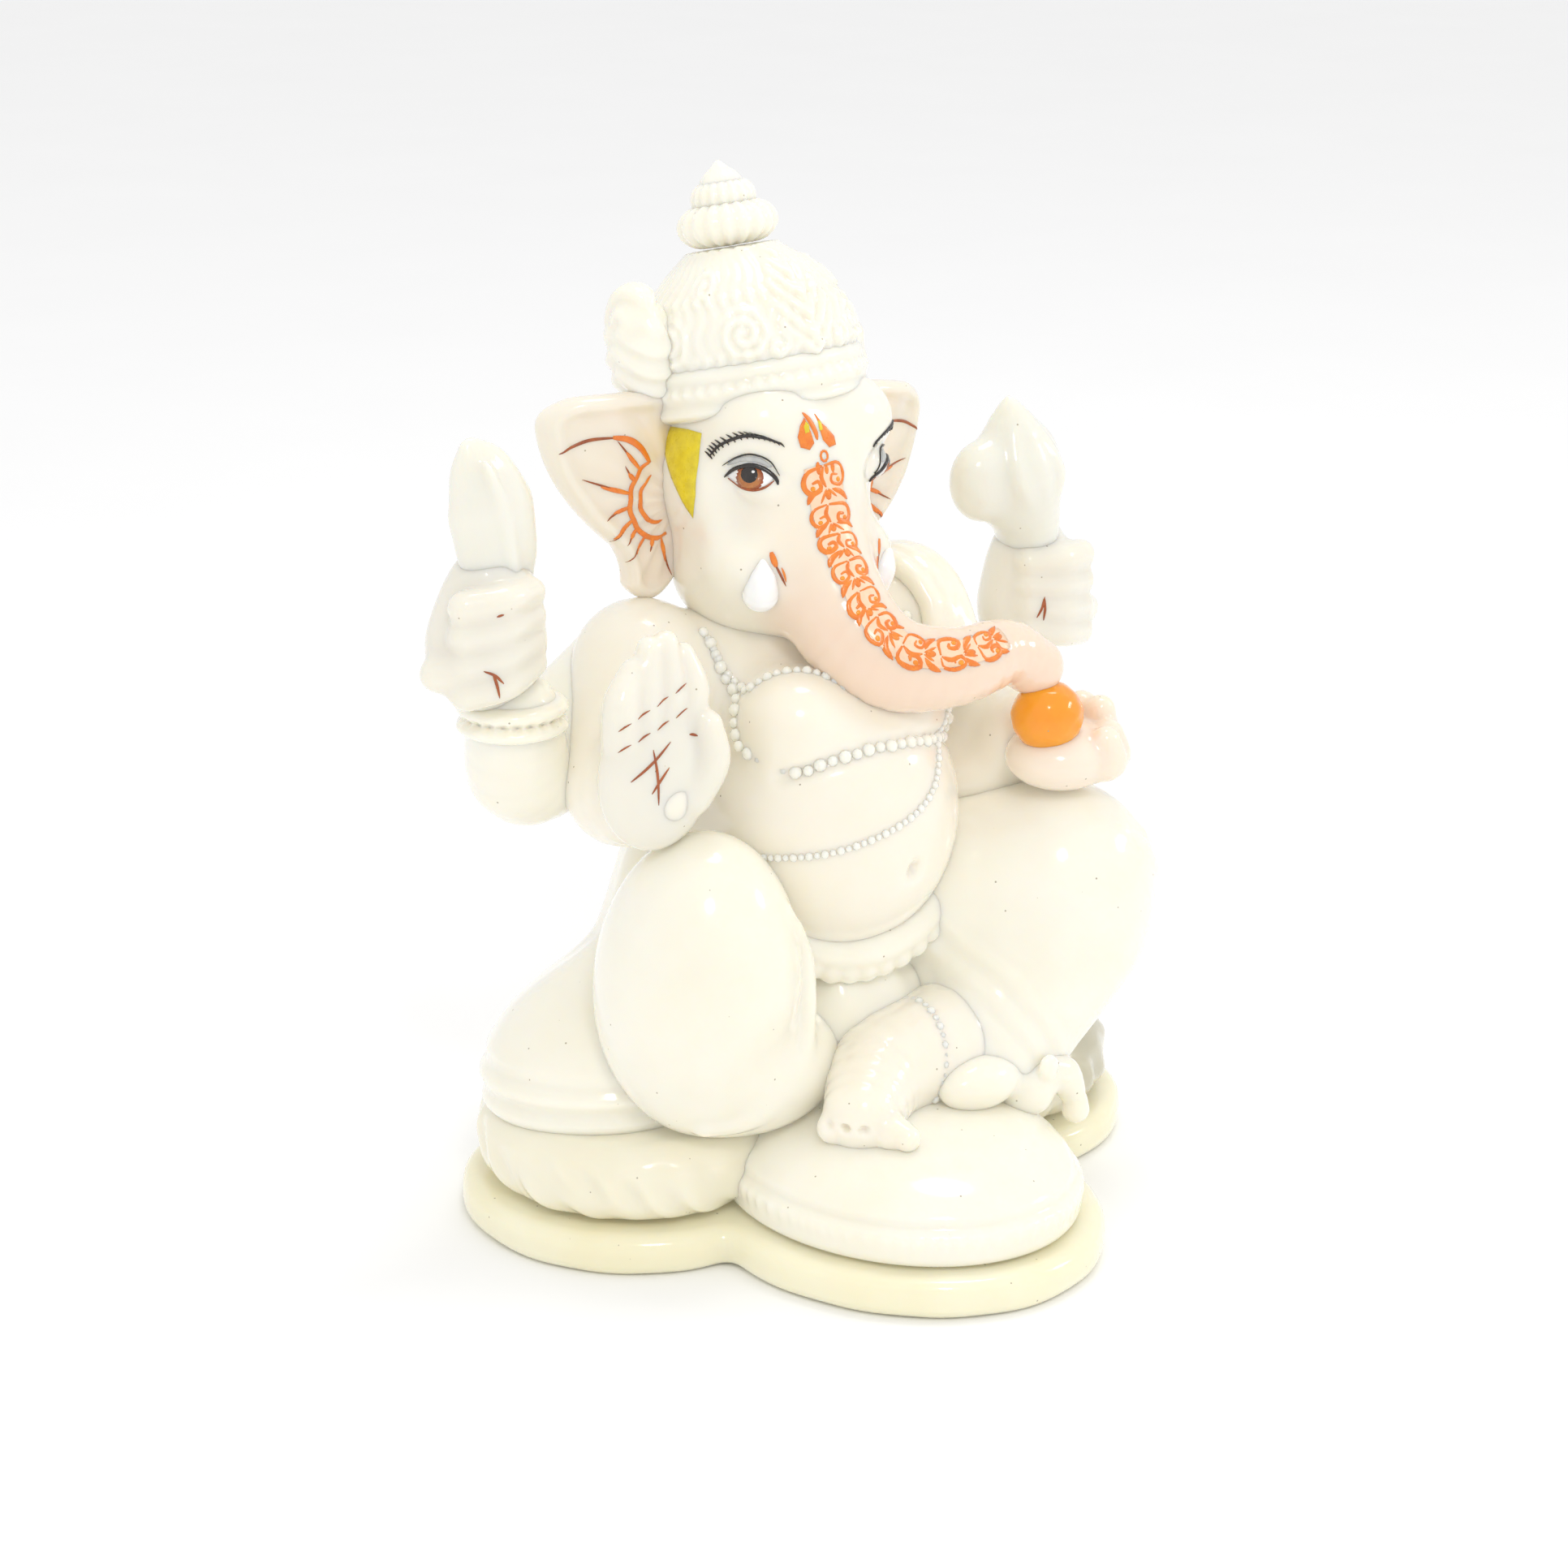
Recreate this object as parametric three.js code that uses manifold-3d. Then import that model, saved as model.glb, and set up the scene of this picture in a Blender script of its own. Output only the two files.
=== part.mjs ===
// A seated, four-armed Ganesha idol in translucent cream resin, built up from its sculpted pieces.
// Units are millimetres. +Z is up, the figure faces -Y, and its left side is +X.
// While it is built up, X = 0 is the figure's middle plane and Z = 0 the underside of the plinth;
// at the end the whole idol is moved so that the origin is under the middle of its footprint.
import * as THREE from "three";
import { mergeVertices } from "three/addons/utils/BufferGeometryUtils.js";
import Module from "manifold-3d";

const wasm = await Module();
wasm.setup();

// ---------------------------------------------------------------- driving dimensions

const joinGap = 0.3; // clear gap that every piece keeps to the pieces it seats on

const baseWidth = 88; // over the two side lobes of the plinth
const baseDepth = 68; // from the front of the foot lobe to the back edge
const plinthThick = 4.8;
const plinthRound = 1.2; // rounding of the plinth's top and bottom edges
const plinthLip = 2.6; // how far the plinth stands out beyond the cushion
const cushionThick = 9.7;
const cushionRound = 3;
const footPadRise = 2; // the foot pad's crown above the cushion
const footLobeStretch = 4; // how much longer than wide the lobe under the feet is, each way

const hipHeight = 16; // thickness of the cloth wrapped round the hips
const bodyHeight = 54; // seat to shoulder line
const torsoHalfWidth = 17;
const torsoHalfDepth = 12.5;
const bellyRadius = 15.5;
const beltThick = 1.5; // how far the scalloped belt stands proud of the belly
const shoulderSpan = 42; // between the centres of the shoulders
const shoulderRadius = 8.5;
const upperArmRadius = 6.6;
const forearmRadius = 6;
const rearHandReach = 40; // sideways, from the middle plane to a raised hand
const rearHandRise = 5.5; // right raised hand above the shoulder line
const rearHandDrop = 8.5; // how much lower the left raised hand is held
const cuffThick = 0.7; // how far a bangle stands proud of the arm

const kneeRadius = 12.2;
const kneeSpread = 25.5; // sideways, from the middle plane to the left knee
const kneeHeight = 23; // centre of the raised left knee above the seat
const foldedLegHeight = 36; // folded right leg, from the seat to the top of the knee
const ankleRadius = 6.6;
const footLength = 11;

const headHalfWidth = 13.4;
const headHalfDepth = 12.5;
const headHalfHeight = 14;
const headTilt = 5; // degrees that the head leans to the figure's left
const trunkRootRadius = 6.4;
const trunkTipRadius = 3.6;
const earReach = 13; // how far an ear stands out from the head
const earThick = 3;
const tuskLength = 6;
const tuskRadius = 2;

const crownRadius = 13.2;
const crownHeight = 14.6;
const crownBandHeight = 6.4;
const crownLean = 13; // degrees that the crown tips back
const crownSway = 2; // degrees that it tips to the figure's right
const crownRingRadius = 6;
const crownBudRadius = 3.9;
const crownTipHeight = 3.8;
const rosetteHalfHeight = 8;
const rosetteHalfWidth = 4.6;
const rosetteThick = 3.4;

const laddooRadius = 4.4;
const axeHeight = 16.5;
const axeHalfWidth = 3.9;
const lotusRadius = 7.6;
const lotusHeight = 17;
const mouseLength = 12;
const mouseRadius = 3.6;

// ---------------------------------------------------------------- places worked out from them

const seatZ = plinthThick + cushionThick;
const shoulderZ = seatZ + bodyHeight;
const spineY = 13; // the back leans on this line
const sideLobe = baseWidth * 0.225; // radius of a side lobe of the plinth
const footLobe = baseDepth * 0.33; // radius of the lobe under the feet
const footLobeCentre = [-1, -0.3 - baseDepth * 0.56 + footLobe];
const torsoCentre = [0, spineY - 2, seatZ + bodyHeight * 0.55];
const bellyCentre = [0, torsoCentre[1] - torsoHalfDepth * 0.95, seatZ + bodyHeight * 0.63];
const bellyFloor = bellyCentre[2] - bellyRadius * 1.12;
const headCentre = [0, spineY - 2.5, shoulderZ + headHalfHeight * 1.35];
const faceY = headCentre[1] - headHalfDepth;
const crownBase = [0, headCentre[1] + 2.8, headCentre[2] + headHalfHeight * 0.68];
const leftKnee = [kneeSpread, -13, seatZ + kneeHeight];
const rightKnee = [4 - kneeSpread, -4.5, seatZ + foldedLegHeight * 0.52];
const leftAnkle = [kneeSpread - 18, -13.5, seatZ + footPadRise + ankleRadius * 0.6];
const handOnKnee = [leftKnee[0] - 0.5, leftKnee[1] - 1, leftKnee[2] + kneeRadius + 3.9];
const shoulderX = shoulderSpan / 2;
const rightRearHand = [-rearHandReach, spineY - 4, shoulderZ + rearHandRise];
const leftRearHand = [rearHandReach, spineY - 4, rightRearHand[2] - rearHandDrop];
const blessingWrist = [-shoulderX - 6, spineY - 16, shoulderZ - 12.6];

// ---------------------------------------------------------------- shapes

// A closed three.js geometry as a manifold solid, with its faces turned outwards.
function solidOf(geometry) {
  const bare = geometry.index ? geometry.toNonIndexed() : geometry.clone();
  bare.deleteAttribute("normal");
  bare.deleteAttribute("uv");
  const merged = mergeVertices(bare, 1e-4);
  const triVerts = new Uint32Array(merged.index.array);
  const make = () =>
    new wasm.Manifold(
      new wasm.Mesh({
        numProp: 3,
        vertProperties: merged.attributes.position.array,
        triVerts,
      }),
    );
  const solid = make();
  if (solid.volume() > 0) return solid;
  for (let i = 0; i < triVerts.length; i += 3)
    [triVerts[i], triVerts[i + 1]] = [triVerts[i + 1], triVerts[i]];
  return make();
}

function geometryOf(solid) {
  const mesh = solid.getMesh();
  const positions = new Float32Array(mesh.numVert * 3);
  for (let i = 0; i < mesh.numVert; i++)
    positions.set(mesh.vertProperties.subarray(i * mesh.numProp, i * mesh.numProp + 3), i * 3);
  const geometry = new THREE.BufferGeometry();
  geometry.setAttribute("position", new THREE.BufferAttribute(positions, 3));
  geometry.setIndex(new THREE.BufferAttribute(new Uint32Array(mesh.triVerts), 1));
  geometry.computeVertexNormals();
  return geometry;
}

const turnMatrix = (degrees) =>
  new THREE.Matrix4().makeRotationFromEuler(
    new THREE.Euler(...degrees.map(THREE.MathUtils.degToRad)),
  );

// An ellipsoid; turn is its rotation about X, Y and Z in degrees.
function ball(centre, radii, grow, turn = [0, 0, 0], segments = 10) {
  const geometry = new THREE.SphereGeometry(1, segments, Math.round(segments * 0.6));
  geometry.rotateX(Math.PI / 2);
  geometry.scale(radii[0] + grow, radii[1] + grow, radii[2] + grow);
  geometry.applyMatrix4(turnMatrix(turn));
  geometry.translate(...centre);
  return geometry;
}

// A round-ended limb along a smooth curve: a capsule bent along the curve, its radius read
// between its stations. across fixes the section's frame, which flat narrows one way.
function limb(points, radii, grow, { across, flat = 1, sides = 9, steps = 4 }) {
  const curve = new THREE.CatmullRomCurve3(points.map((p) => new THREE.Vector3(...p)));
  const length = curve.getLength();
  const radiusAt = (share) => {
    const place = share * (radii.length - 1);
    const low = Math.min(Math.floor(place), radii.length - 2);
    return THREE.MathUtils.lerp(radii[low], radii[low + 1], place - low) + grow;
  };
  const capSteps = sides > 9 ? 3 : 2;
  const endCap = (radius, end, way) =>
    Array.from({ length: capSteps }, (_, i) => {
      const angle = ((i / capSteps) * Math.PI) / 2;
      return new THREE.Vector2(radius * Math.sin(angle), end + way * radius * Math.cos(angle));
    });
  const profile = endCap(radiusAt(0), 0, -1);
  for (let i = 0; i <= steps; i++)
    profile.push(new THREE.Vector2(radiusAt(i / steps), (i / steps) * length));
  profile.push(...endCap(radiusAt(1), length, 1).reverse());
  const geometry = new THREE.LatheGeometry(profile, sides);
  const position = geometry.attributes.position;
  const reference = new THREE.Vector3(...across).normalize();
  for (let i = 0; i < position.count; i++) {
    const local = new THREE.Vector3().fromBufferAttribute(position, i);
    const share = THREE.MathUtils.clamp(local.y / length, 0, 1);
    const tangent = curve.getTangentAt(share);
    const side = new THREE.Vector3().crossVectors(reference, tangent).normalize();
    const front = new THREE.Vector3().crossVectors(tangent, side).normalize();
    const place = curve
      .getPointAt(share)
      .addScaledVector(tangent, local.y - share * length)
      .addScaledVector(side, local.x)
      .addScaledVector(front, local.z * flat);
    position.setXYZ(i, place.x, place.y, place.z);
  }
  return geometry;
}

// A chain of straight, tapering, round-ended bones from station to station, for tight bends.
// Each bone starts a little slimmer than the last one ends, so the joint is one clean crease.
function bones(points, radii, grow, sides = 9) {
  const step = 0.96;
  return points.slice(1).map((end, i) => {
    const start = points[i];
    const run = start.map((v, k) => Math.abs(end[k] - v));
    const across = run.map((v) => (v === Math.min(...run) ? 1 : 0));
    const ends = [radii[i] * (i > 0 ? step : 1), radii[i + 1]];
    return limb([start, end], ends, grow, { across, sides, steps: 1 });
  });
}

// A body of revolution; profile lists [radius, height] from the axis below to the axis above.
function turned(profile, centre, turn, segments = 16) {
  const points = profile.map(([r, h]) => new THREE.Vector2(r, h));
  const geometry = new THREE.LatheGeometry(points, segments);
  geometry.rotateX(Math.PI / 2);
  geometry.applyMatrix4(turnMatrix(turn));
  geometry.translate(...centre);
  return geometry;
}

// The side of a flattened roll, as [radius, height] points for a body of revolution.
function rollProfile(radius, halfHeight, grow, steps = 5) {
  return Array.from({ length: steps + 1 }, (_, i) => {
    const angle = -Math.PI / 2 + (i / steps) * Math.PI;
    const onAxis = i === 0 || i === steps;
    return [
      onAxis ? 0 : (radius + grow) * Math.cos(angle) ** 0.6,
      (halfHeight + grow) * Math.sin(angle),
    ];
  });
}

// A slab with an elliptical outline and rounded edges, standing from z0 to z1.
function ellipseSlab([x, y], [rx, ry], z0, z1, round, grow) {
  const outline = new THREE.Shape();
  outline.absellipse(x, y, rx - round + grow, ry - round + grow, 0, 2 * Math.PI);
  const geometry = new THREE.ExtrudeGeometry(outline, {
    depth: z1 - z0 + 2 * grow - 2 * round,
    bevelThickness: round,
    bevelSize: round,
    bevelSegments: 2,
    curveSegments: 11,
  });
  geometry.translate(0, 0, z0 - grow + round);
  return geometry;
}

// A plate with its outline in the XZ plane, thick along Y, with softened edges.
function plate(outline, thick, round, grow) {
  const geometry = new THREE.ExtrudeGeometry(outline, {
    depth: thick + 2 * grow - 2 * round,
    bevelThickness: round,
    bevelSize: round + grow,
    bevelSegments: 1,
    curveSegments: 5,
  });
  geometry.translate(0, 0, round - grow - thick / 2);
  geometry.rotateX(Math.PI / 2);
  return geometry;
}

// The head and what grows from it lean a little to the figure's left.
const tilted = (shape) => (grow) =>
  shape(grow).map((geometry) => {
    geometry.translate(...headCentre.map((v) => -v));
    geometry.applyMatrix4(turnMatrix([0, headTilt, 0]));
    return geometry.translate(...headCentre);
  });

// ---------------------------------------------------------------- plinth and cushions

// The two side lobes and the back that plinth and cushion share, drawn in by inset.
function seatLobes(inset, z0, z1, round, grow) {
  const lobe = (centre, [rx, ry]) =>
    ellipseSlab(centre, [rx - inset, ry - inset], z0, z1, round, grow);
  return [
    lobe([-sideLobe - 2.2, 9], [sideLobe, sideLobe + 1.2]),
    lobe([sideLobe + 5.6, 4.5], [sideLobe + 1.2, sideLobe + 0.6]),
    lobe([1.5, baseDepth * 0.455 - sideLobe], [baseWidth * 0.4, sideLobe]),
  ];
}

const basePlinth = (grow) => [
  ...seatLobes(0, 0, plinthThick, plinthRound, grow),
  ellipseSlab(
    footLobeCentre,
    [footLobe, footLobe + footLobeStretch],
    0,
    plinthThick,
    plinthRound,
    grow,
  ),
];

const cushionFloor = plinthThick + joinGap;

const seatCushion = (grow) => seatLobes(plinthLip, cushionFloor, seatZ, cushionRound, grow);

// The round pad in front that carries the feet: a low drum with a domed top.
const footPad = (grow) => {
  const radius = footLobe - plinthLip;
  const domeZ = cushionFloor + cushionThick * 0.5;
  return [
    ellipseSlab(
      footLobeCentre,
      [radius, radius + footLobeStretch],
      cushionFloor,
      domeZ,
      cushionRound * 0.5,
      grow,
    ),
    ball(
      [...footLobeCentre, domeZ],
      [radius - 0.6, radius + footLobeStretch - 0.6, seatZ + footPadRise - domeZ],
      grow,
      [0, 0, 0],
      16,
    ),
  ];
};

// ---------------------------------------------------------------- body

const torso = (grow) => [
  ball(torsoCentre, [torsoHalfWidth, torsoHalfDepth, bodyHeight * 0.53], grow, [0, 0, 0], 12),
  ball([0, spineY - 2.5, shoulderZ - 6], [torsoHalfWidth + 3, torsoHalfDepth - 2.5, 10], grow),
];

// The bunched cloth round the hips: it falls from the waist and spreads over the seat.
const hipDrape = (grow) => [
  ball([0, 9, seatZ + hipHeight * 0.45], [29, 17, hipHeight * 0.55], grow, [0, 0, 0], 12),
  ball([-sideLobe - 3.4, 12, seatZ + 3.4], [15.5, 14.5, 12], grow, [0, -12, 0], 12),
  ball([sideLobe + 3.8, 8, seatZ + 2.4], [17, 14, 11], grow, [0, 12, 0], 12),
  ball([1, -3, (seatZ + bellyFloor) / 2], [11, 9.5, (bellyFloor - seatZ) / 2 + 2], grow),
  limb(
    [
      [-22.5, 13, seatZ + 5],
      [-15.5, 14, seatZ + 14],
      [-11, 14, seatZ + 27],
    ],
    [10.5, 7.8, 6.8],
    grow,
    { across: [0, 1, 0] },
  ),
];

const belly = (grow) => [
  ball(bellyCentre, [bellyRadius, bellyRadius, bellyRadius * 1.12], grow, [0, 0, 0], 14),
];

// The point on the belly's skin, proud of it by out, at angles round it and below its middle.
function onBelly(round, below, out) {
  const r = bellyRadius + out;
  const a = THREE.MathUtils.degToRad(round);
  const b = THREE.MathUtils.degToRad(below);
  return [
    bellyCentre[0] + r * Math.cos(b) * Math.sin(a),
    bellyCentre[1] - r * Math.cos(b) * Math.cos(a),
    bellyCentre[2] - (r + bellyRadius * 0.12) * Math.sin(b),
  ];
}

// The scalloped belt that lies under the belly.
const belt = (grow) => [
  limb(
    Array.from({ length: 9 }, (_, i) => onBelly(-64 + i * 20, 56 - i * i * 0.55, 0.2)),
    [2.4, beltThick + 1.4, beltThick + 1.4, 2.2],
    grow,
    { across: [0, 0, 1], sides: 8, steps: 12, flat: 1.5 },
  ),
];

// The string of beads across the chest and down to the belly.
const necklace = (grow) => [
  limb(
    [
      [-torsoHalfWidth * 0.72, bellyCentre[1] + 3.4, shoulderZ - 1.5],
      [-torsoHalfWidth * 0.5, bellyCentre[1] - 2.6, shoulderZ - 7],
      [-torsoHalfWidth * 0.1, bellyCentre[1] - 6.4, shoulderZ - 10.5],
      [torsoHalfWidth * 0.5, bellyCentre[1] - 2.6, shoulderZ - 7],
    ],
    [1.9, 2.3, 2.3, 1.8],
    grow,
    { across: [0, 0.4, 1], sides: 8, steps: 10 },
  ),
];

// The cloth over the left shoulder, which falls down the back.
const shawl = (grow) => [
  limb(
    [
      [shoulderX, spineY - 7, shoulderZ + 0.4],
      [shoulderX + 1, spineY + 1, shoulderZ + 3],
      [shoulderX - 5, spineY + 9, shoulderZ - 6],
      [shoulderX - 12, spineY + 11, shoulderZ - 24],
    ],
    [4.4, 5.8, 6, 5],
    grow,
    { across: [0.25, 1, 0.45], steps: 6, flat: 0.45 },
  ),
];

// ---------------------------------------------------------------- head

const head = tilted((grow) => [
  ball(headCentre, [headHalfWidth, headHalfDepth, headHalfHeight], grow, [0, 0, 0], 14),
  ball(
    [0, headCentre[1] - 1, headCentre[2] - headHalfHeight * 0.85],
    [headHalfWidth * 0.84, headHalfDepth * 0.88, headHalfHeight * 0.58],
    grow,
  ),
]);

// The trunk comes down the middle of the face, bends over the belly and reaches for the sweet.
const trunk = (grow) => {
  const tip = [handOnKnee[0] - 3.6, handOnKnee[1] + 1, handOnKnee[2] + laddooRadius * 2 + 2.4];
  const bend = [2.6, faceY - 7.6, headCentre[2] - 20];
  return [
    limb(
      [
        [-1.8, faceY + 6.6, headCentre[2] + 1],
        [-1.2, faceY + 3, headCentre[2] - 8.5],
        [0, faceY - 2.6, headCentre[2] - 16.2],
        bend,
      ],
      [trunkRootRadius, 6.6, 6.1, 5.4],
      grow,
      { across: [1, 0, 0], sides: 11, steps: 4 },
    ),
    limb(
      [
        bend,
        [9.4, faceY - 10.6, headCentre[2] - 20.8],
        [tip[0] - 4.4, tip[1] + 0.4, tip[2] + 2.2],
      ],
      [5.2, 4.5, 3.9],
      grow,
      { across: [0, 0, 1], steps: 4 },
    ),
    ...bones([[tip[0] - 4.4, tip[1] + 0.4, tip[2] + 2.2], tip], [3.7, trunkTipRadius], grow),
  ];
};

// A fan-shaped ear, wide above and drawn to a point by the cheek; side is -1 right, 1 left.
const ear = (side) =>
  tilted((grow) => {
    const root = headHalfWidth - 3;
    const reach = headHalfWidth + earReach - side * 1.6;
    const outline = new THREE.Shape();
    outline.moveTo(side * root, 4.5);
    outline.quadraticCurveTo(side * (reach - 6), 5.6, side * reach, 1.4);
    outline.quadraticCurveTo(side * (reach - 1.8), -6.5, side * (root + 9.6), -12.4);
    outline.quadraticCurveTo(side * (root + 6.5), -18.5, side * root, -15);
    outline.closePath();
    const geometry = plate(outline, earThick, earThick * 0.4, grow);
    return [geometry.translate(0, headCentre[1] + 4.5, headCentre[2] + 0.5 - side * 0.5)];
  });

const tusk = (side) =>
  tilted((grow) => {
    const x = side * (trunkRootRadius + tuskRadius * 0.75);
    const foot = [x, faceY + 2.2, headCentre[2] - 12.3];
    const middle = [x, foot[1] - 0.2, foot[2] + tuskLength * 0.3];
    const top = [x, foot[1] + 0.3, foot[2] + tuskLength * 0.6];
    return [
      limb([foot, middle, top], [tuskRadius, tuskRadius * 0.8, 0.5], grow, {
        across: [0, 1, 0],
        sides: 8,
        steps: 3,
      }),
    ];
  });

// ---------------------------------------------------------------- crown

const crownTurn = [-crownLean, -crownSway, 0];
const onCrownAxis = (rise) =>
  new THREE.Vector3(0, 0, rise)
    .applyMatrix4(turnMatrix(crownTurn))
    .add(new THREE.Vector3(...crownBase))
    .toArray();
const crownTop = crownBandHeight / 2 + crownHeight;

const crownBand = (grow) => [
  turned(rollProfile(crownRadius + 1, crownBandHeight / 2, grow), onCrownAxis(0), crownTurn, 16),
];

const crownDome = (grow) => {
  const at = (r, h) => [crownRadius * r + grow, crownHeight * h];
  const profile = [
    [0, -grow],
    [crownRadius + grow, -grow],
    at(1.01, 0.22),
    at(0.95, 0.45),
    at(0.78, 0.7),
    at(0.52, 0.9),
    [crownRadius * 0.3 + grow, crownHeight + grow],
    [0, crownHeight + grow],
  ];
  return [turned(profile, onCrownAxis(crownBandHeight / 2), crownTurn, 16)];
};

const crownRing = (grow) => [
  turned(rollProfile(crownRingRadius, 2.2, grow), onCrownAxis(crownTop + 0.6), crownTurn, 12),
];

const crownBud = (grow) => [
  turned(rollProfile(crownBudRadius, 1.9, grow), onCrownAxis(crownTop + 3.6), crownTurn, 10),
];

const crownTip = (grow) => {
  const radius = crownBudRadius * 0.8;
  const profile = [
    [0, -1 - grow],
    [radius + grow, -1 - grow],
    [radius + grow, 0.6],
    [radius * 0.66 + grow, crownTipHeight * 0.45],
    [0.5 + grow, crownTipHeight + grow],
    [0, crownTipHeight + grow],
  ];
  return [turned(profile, onCrownAxis(crownTop + 4.8), crownTurn, 12)];
};

// The feathered flower on the crown's side, above the ear.
const rosette = (side) =>
  tilted((grow) => [
    ball(
      [side * (crownRadius + 1) - 1.5, crownBase[1] + 2.4, crownBase[2] + 2.6 - side * 1.4],
      [rosetteThick, rosetteHalfWidth, rosetteHalfHeight],
      grow,
      [0, side * 6, 0],
    ),
  ]);

// ---------------------------------------------------------------- front arms and hands

const rightFrontArm = (grow) =>
  bones(
    [
      [-shoulderX + 3.6, spineY - 1, shoulderZ - 2.8],
      [-shoulderX - 4, spineY - 6.5, shoulderZ - 14],
      [blessingWrist[0] + 1, blessingWrist[1] + 4, blessingWrist[2] + 1],
    ],
    [shoulderRadius, upperArmRadius + 0.7, forearmRadius],
    grow,
  );

// The raised right palm, fingers up, facing forward.
const blessingHand = (grow) => {
  const [x, y, z] = blessingWrist;
  const palm = limb(
    [
      [x - 0.6, y, z - 0.5],
      [x - 0.4, y - 0.6, z + 5],
      [x, y + 0.4, z + 11],
    ],
    [5.8, 7.4, 6.2],
    grow,
    { across: [0, 1, 0], sides: 10, steps: 2, flat: 0.6 },
  );
  const fingers = [-1.5, -0.5, 0.5, 1.5].flatMap((k) => {
    const rise = 18.5 - Math.abs(k - 0.2) * 2.4;
    const root = [x + k * 2.7, y + 0.2, z + 9];
    const tip = [x + k * 1.8, y + 2.4, z + rise];
    return bones([root, tip], [2.1, 1.6], grow, 6);
  });
  const thumb = bones(
    [
      [x + 4, y - 0.8, z + 1],
      [x + 5.8, y - 2.2, z + 4.5],
      [x + 5.8, y - 2, z + 8.4],
    ],
    [2.7, 2.3, 1.7],
    grow,
    7,
  );
  return [palm, ...fingers, ...thumb];
};

const leftFrontArm = (grow) =>
  bones(
    [
      [shoulderX - 1, spineY - 2, shoulderZ - 4],
      [shoulderX + 5, spineY - 9, shoulderZ - 15.5],
      [handOnKnee[0] - 0.5, handOnKnee[1] + 7.5, handOnKnee[2] + 0.5],
    ],
    [shoulderRadius, upperArmRadius + 0.6, forearmRadius - 0.6],
    grow,
  );

// The cupped left hand that holds the sweet over the knee.
const bowlHand = (grow) => {
  const [x, y, z] = handOnKnee;
  const fingers = [0, 1, 2, 3].flatMap((k) => {
    const angle = THREE.MathUtils.degToRad(-70 + k * 30);
    const out = (r) => [x + Math.cos(angle) * r, y + Math.sin(angle) * r];
    const knuckle = [...out(6), z];
    return bones([knuckle, [...out(6), z + (k > 1 ? 4.4 : 2.6)]], [2.5, 1.9], grow, 6);
  });
  return [ball([x, y, z - 0.4], [7.2, 6.6, 4.3], grow), ...fingers];
};

const laddoo = (grow) => [
  ball(
    [handOnKnee[0] - 2.8, handOnKnee[1] - 0.6, handOnKnee[2] + laddooRadius + 1],
    [laddooRadius, laddooRadius, laddooRadius],
    grow,
  ),
];

// ---------------------------------------------------------------- raised arms and what they hold

const rearArm = (side, hand) => (grow) => {
  const elbow = [side * (rearHandReach - 6.6), spineY, hand[2] - 18];
  return bones(
    [
      [side * (shoulderX - 5), spineY + 4, shoulderZ - 6],
      elbow,
      [side * (rearHandReach - 3), hand[1] + 0.8, hand[2] - 9],
    ],
    [shoulderRadius - 1, upperArmRadius, forearmRadius - 0.4],
    grow,
  );
};

// The bangle that closes a raised forearm below the hand.
const rearCuff = (side, hand) => (grow) => [
  turned(
    rollProfile(forearmRadius + cuffThick, 2.1, grow),
    [side * (rearHandReach - 3), hand[1] + 0.8, hand[2] - 9.6],
    [10, side * 10, 0],
    12,
  ),
];

const rearHand = (side, hand) => (grow) => {
  const [x, y, z] = hand;
  const fingers = [-1, 0, 1].flatMap((k) =>
    bones(
      [
        [x + side * 3.4, y - 3.8, z - 0.5 + k * 3.6],
        [x - side * 4, y - 3.8, z + 0.8 + k * 3],
      ],
      [2, 1.7],
      grow,
      6,
    ),
  );
  const thumb = ball([x + side * 7.6, y - 1.4, z - 3], [2.6, 2.4, 2.1], grow, [0, 0, 0], 8);
  return [ball([x + side * 0.5, y, z], [8.2, 5.6, 9], grow, [0, side * 10, 0]), ...fingers, thumb];
};

// The raised axe blade, a leaf that stands on the right rear hand.
const axe = (grow) => {
  const w = axeHalfWidth;
  const h = axeHeight;
  const outline = new THREE.Shape();
  outline.moveTo(-w * 0.6, 0);
  outline.bezierCurveTo(-w * 1.1, h * 0.4, -w * 1.2, h * 0.9, -w * 0.5, h);
  outline.bezierCurveTo(w * 0.2, h * 0.98, w * 1.5, h * 0.5, w * 0.8, 0);
  outline.closePath();
  const geometry = plate(outline, 4.8, 1.8, grow);
  return [geometry.translate(rightRearHand[0] + 0.4, rightRearHand[1] - 0.5, rightRearHand[2] + 4.4)];
};

// The lotus bud on the left rear hand: a round bud with a side petal and a point.
const lotus = (grow) => {
  const foot = [leftRearHand[0] - 1.2, leftRearHand[1] - 0.5, leftRearHand[2] + 8];
  const centre = [foot[0] - 1.8, foot[1], foot[2] + lotusHeight * 0.48];
  return [
    ball(centre, [lotusRadius * 0.86, lotusRadius * 0.6, lotusRadius * 0.98], grow),
    ball(
      [centre[0] - lotusRadius * 0.72, centre[1], centre[2] - 0.8],
      [lotusRadius * 0.6, lotusRadius * 0.48, lotusRadius * 0.68],
      grow,
      [0, 0, 0],
      12,
    ),
    limb(
      [foot, centre, [centre[0] - 1.6, centre[1], foot[2] + lotusHeight]],
      [lotusRadius * 0.6, lotusRadius * 0.7, 0.8],
      grow,
      { across: [0, 1, 0], steps: 4, flat: 0.8 },
    ),
  ];
};

// ---------------------------------------------------------------- legs

// The folded right leg: under its cloth, knee and shin read as one egg-shaped form.
const rightLeg = (grow) => [
  ball(rightKnee, [kneeRadius - 0.4, kneeRadius, foldedLegHeight * 0.49], grow, [3, 5, 0], 14),
  ball([rightKnee[0] + 7, rightKnee[1] - 0.5, seatZ + 6.5], [12, 9.5, 8], grow),
];

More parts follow.
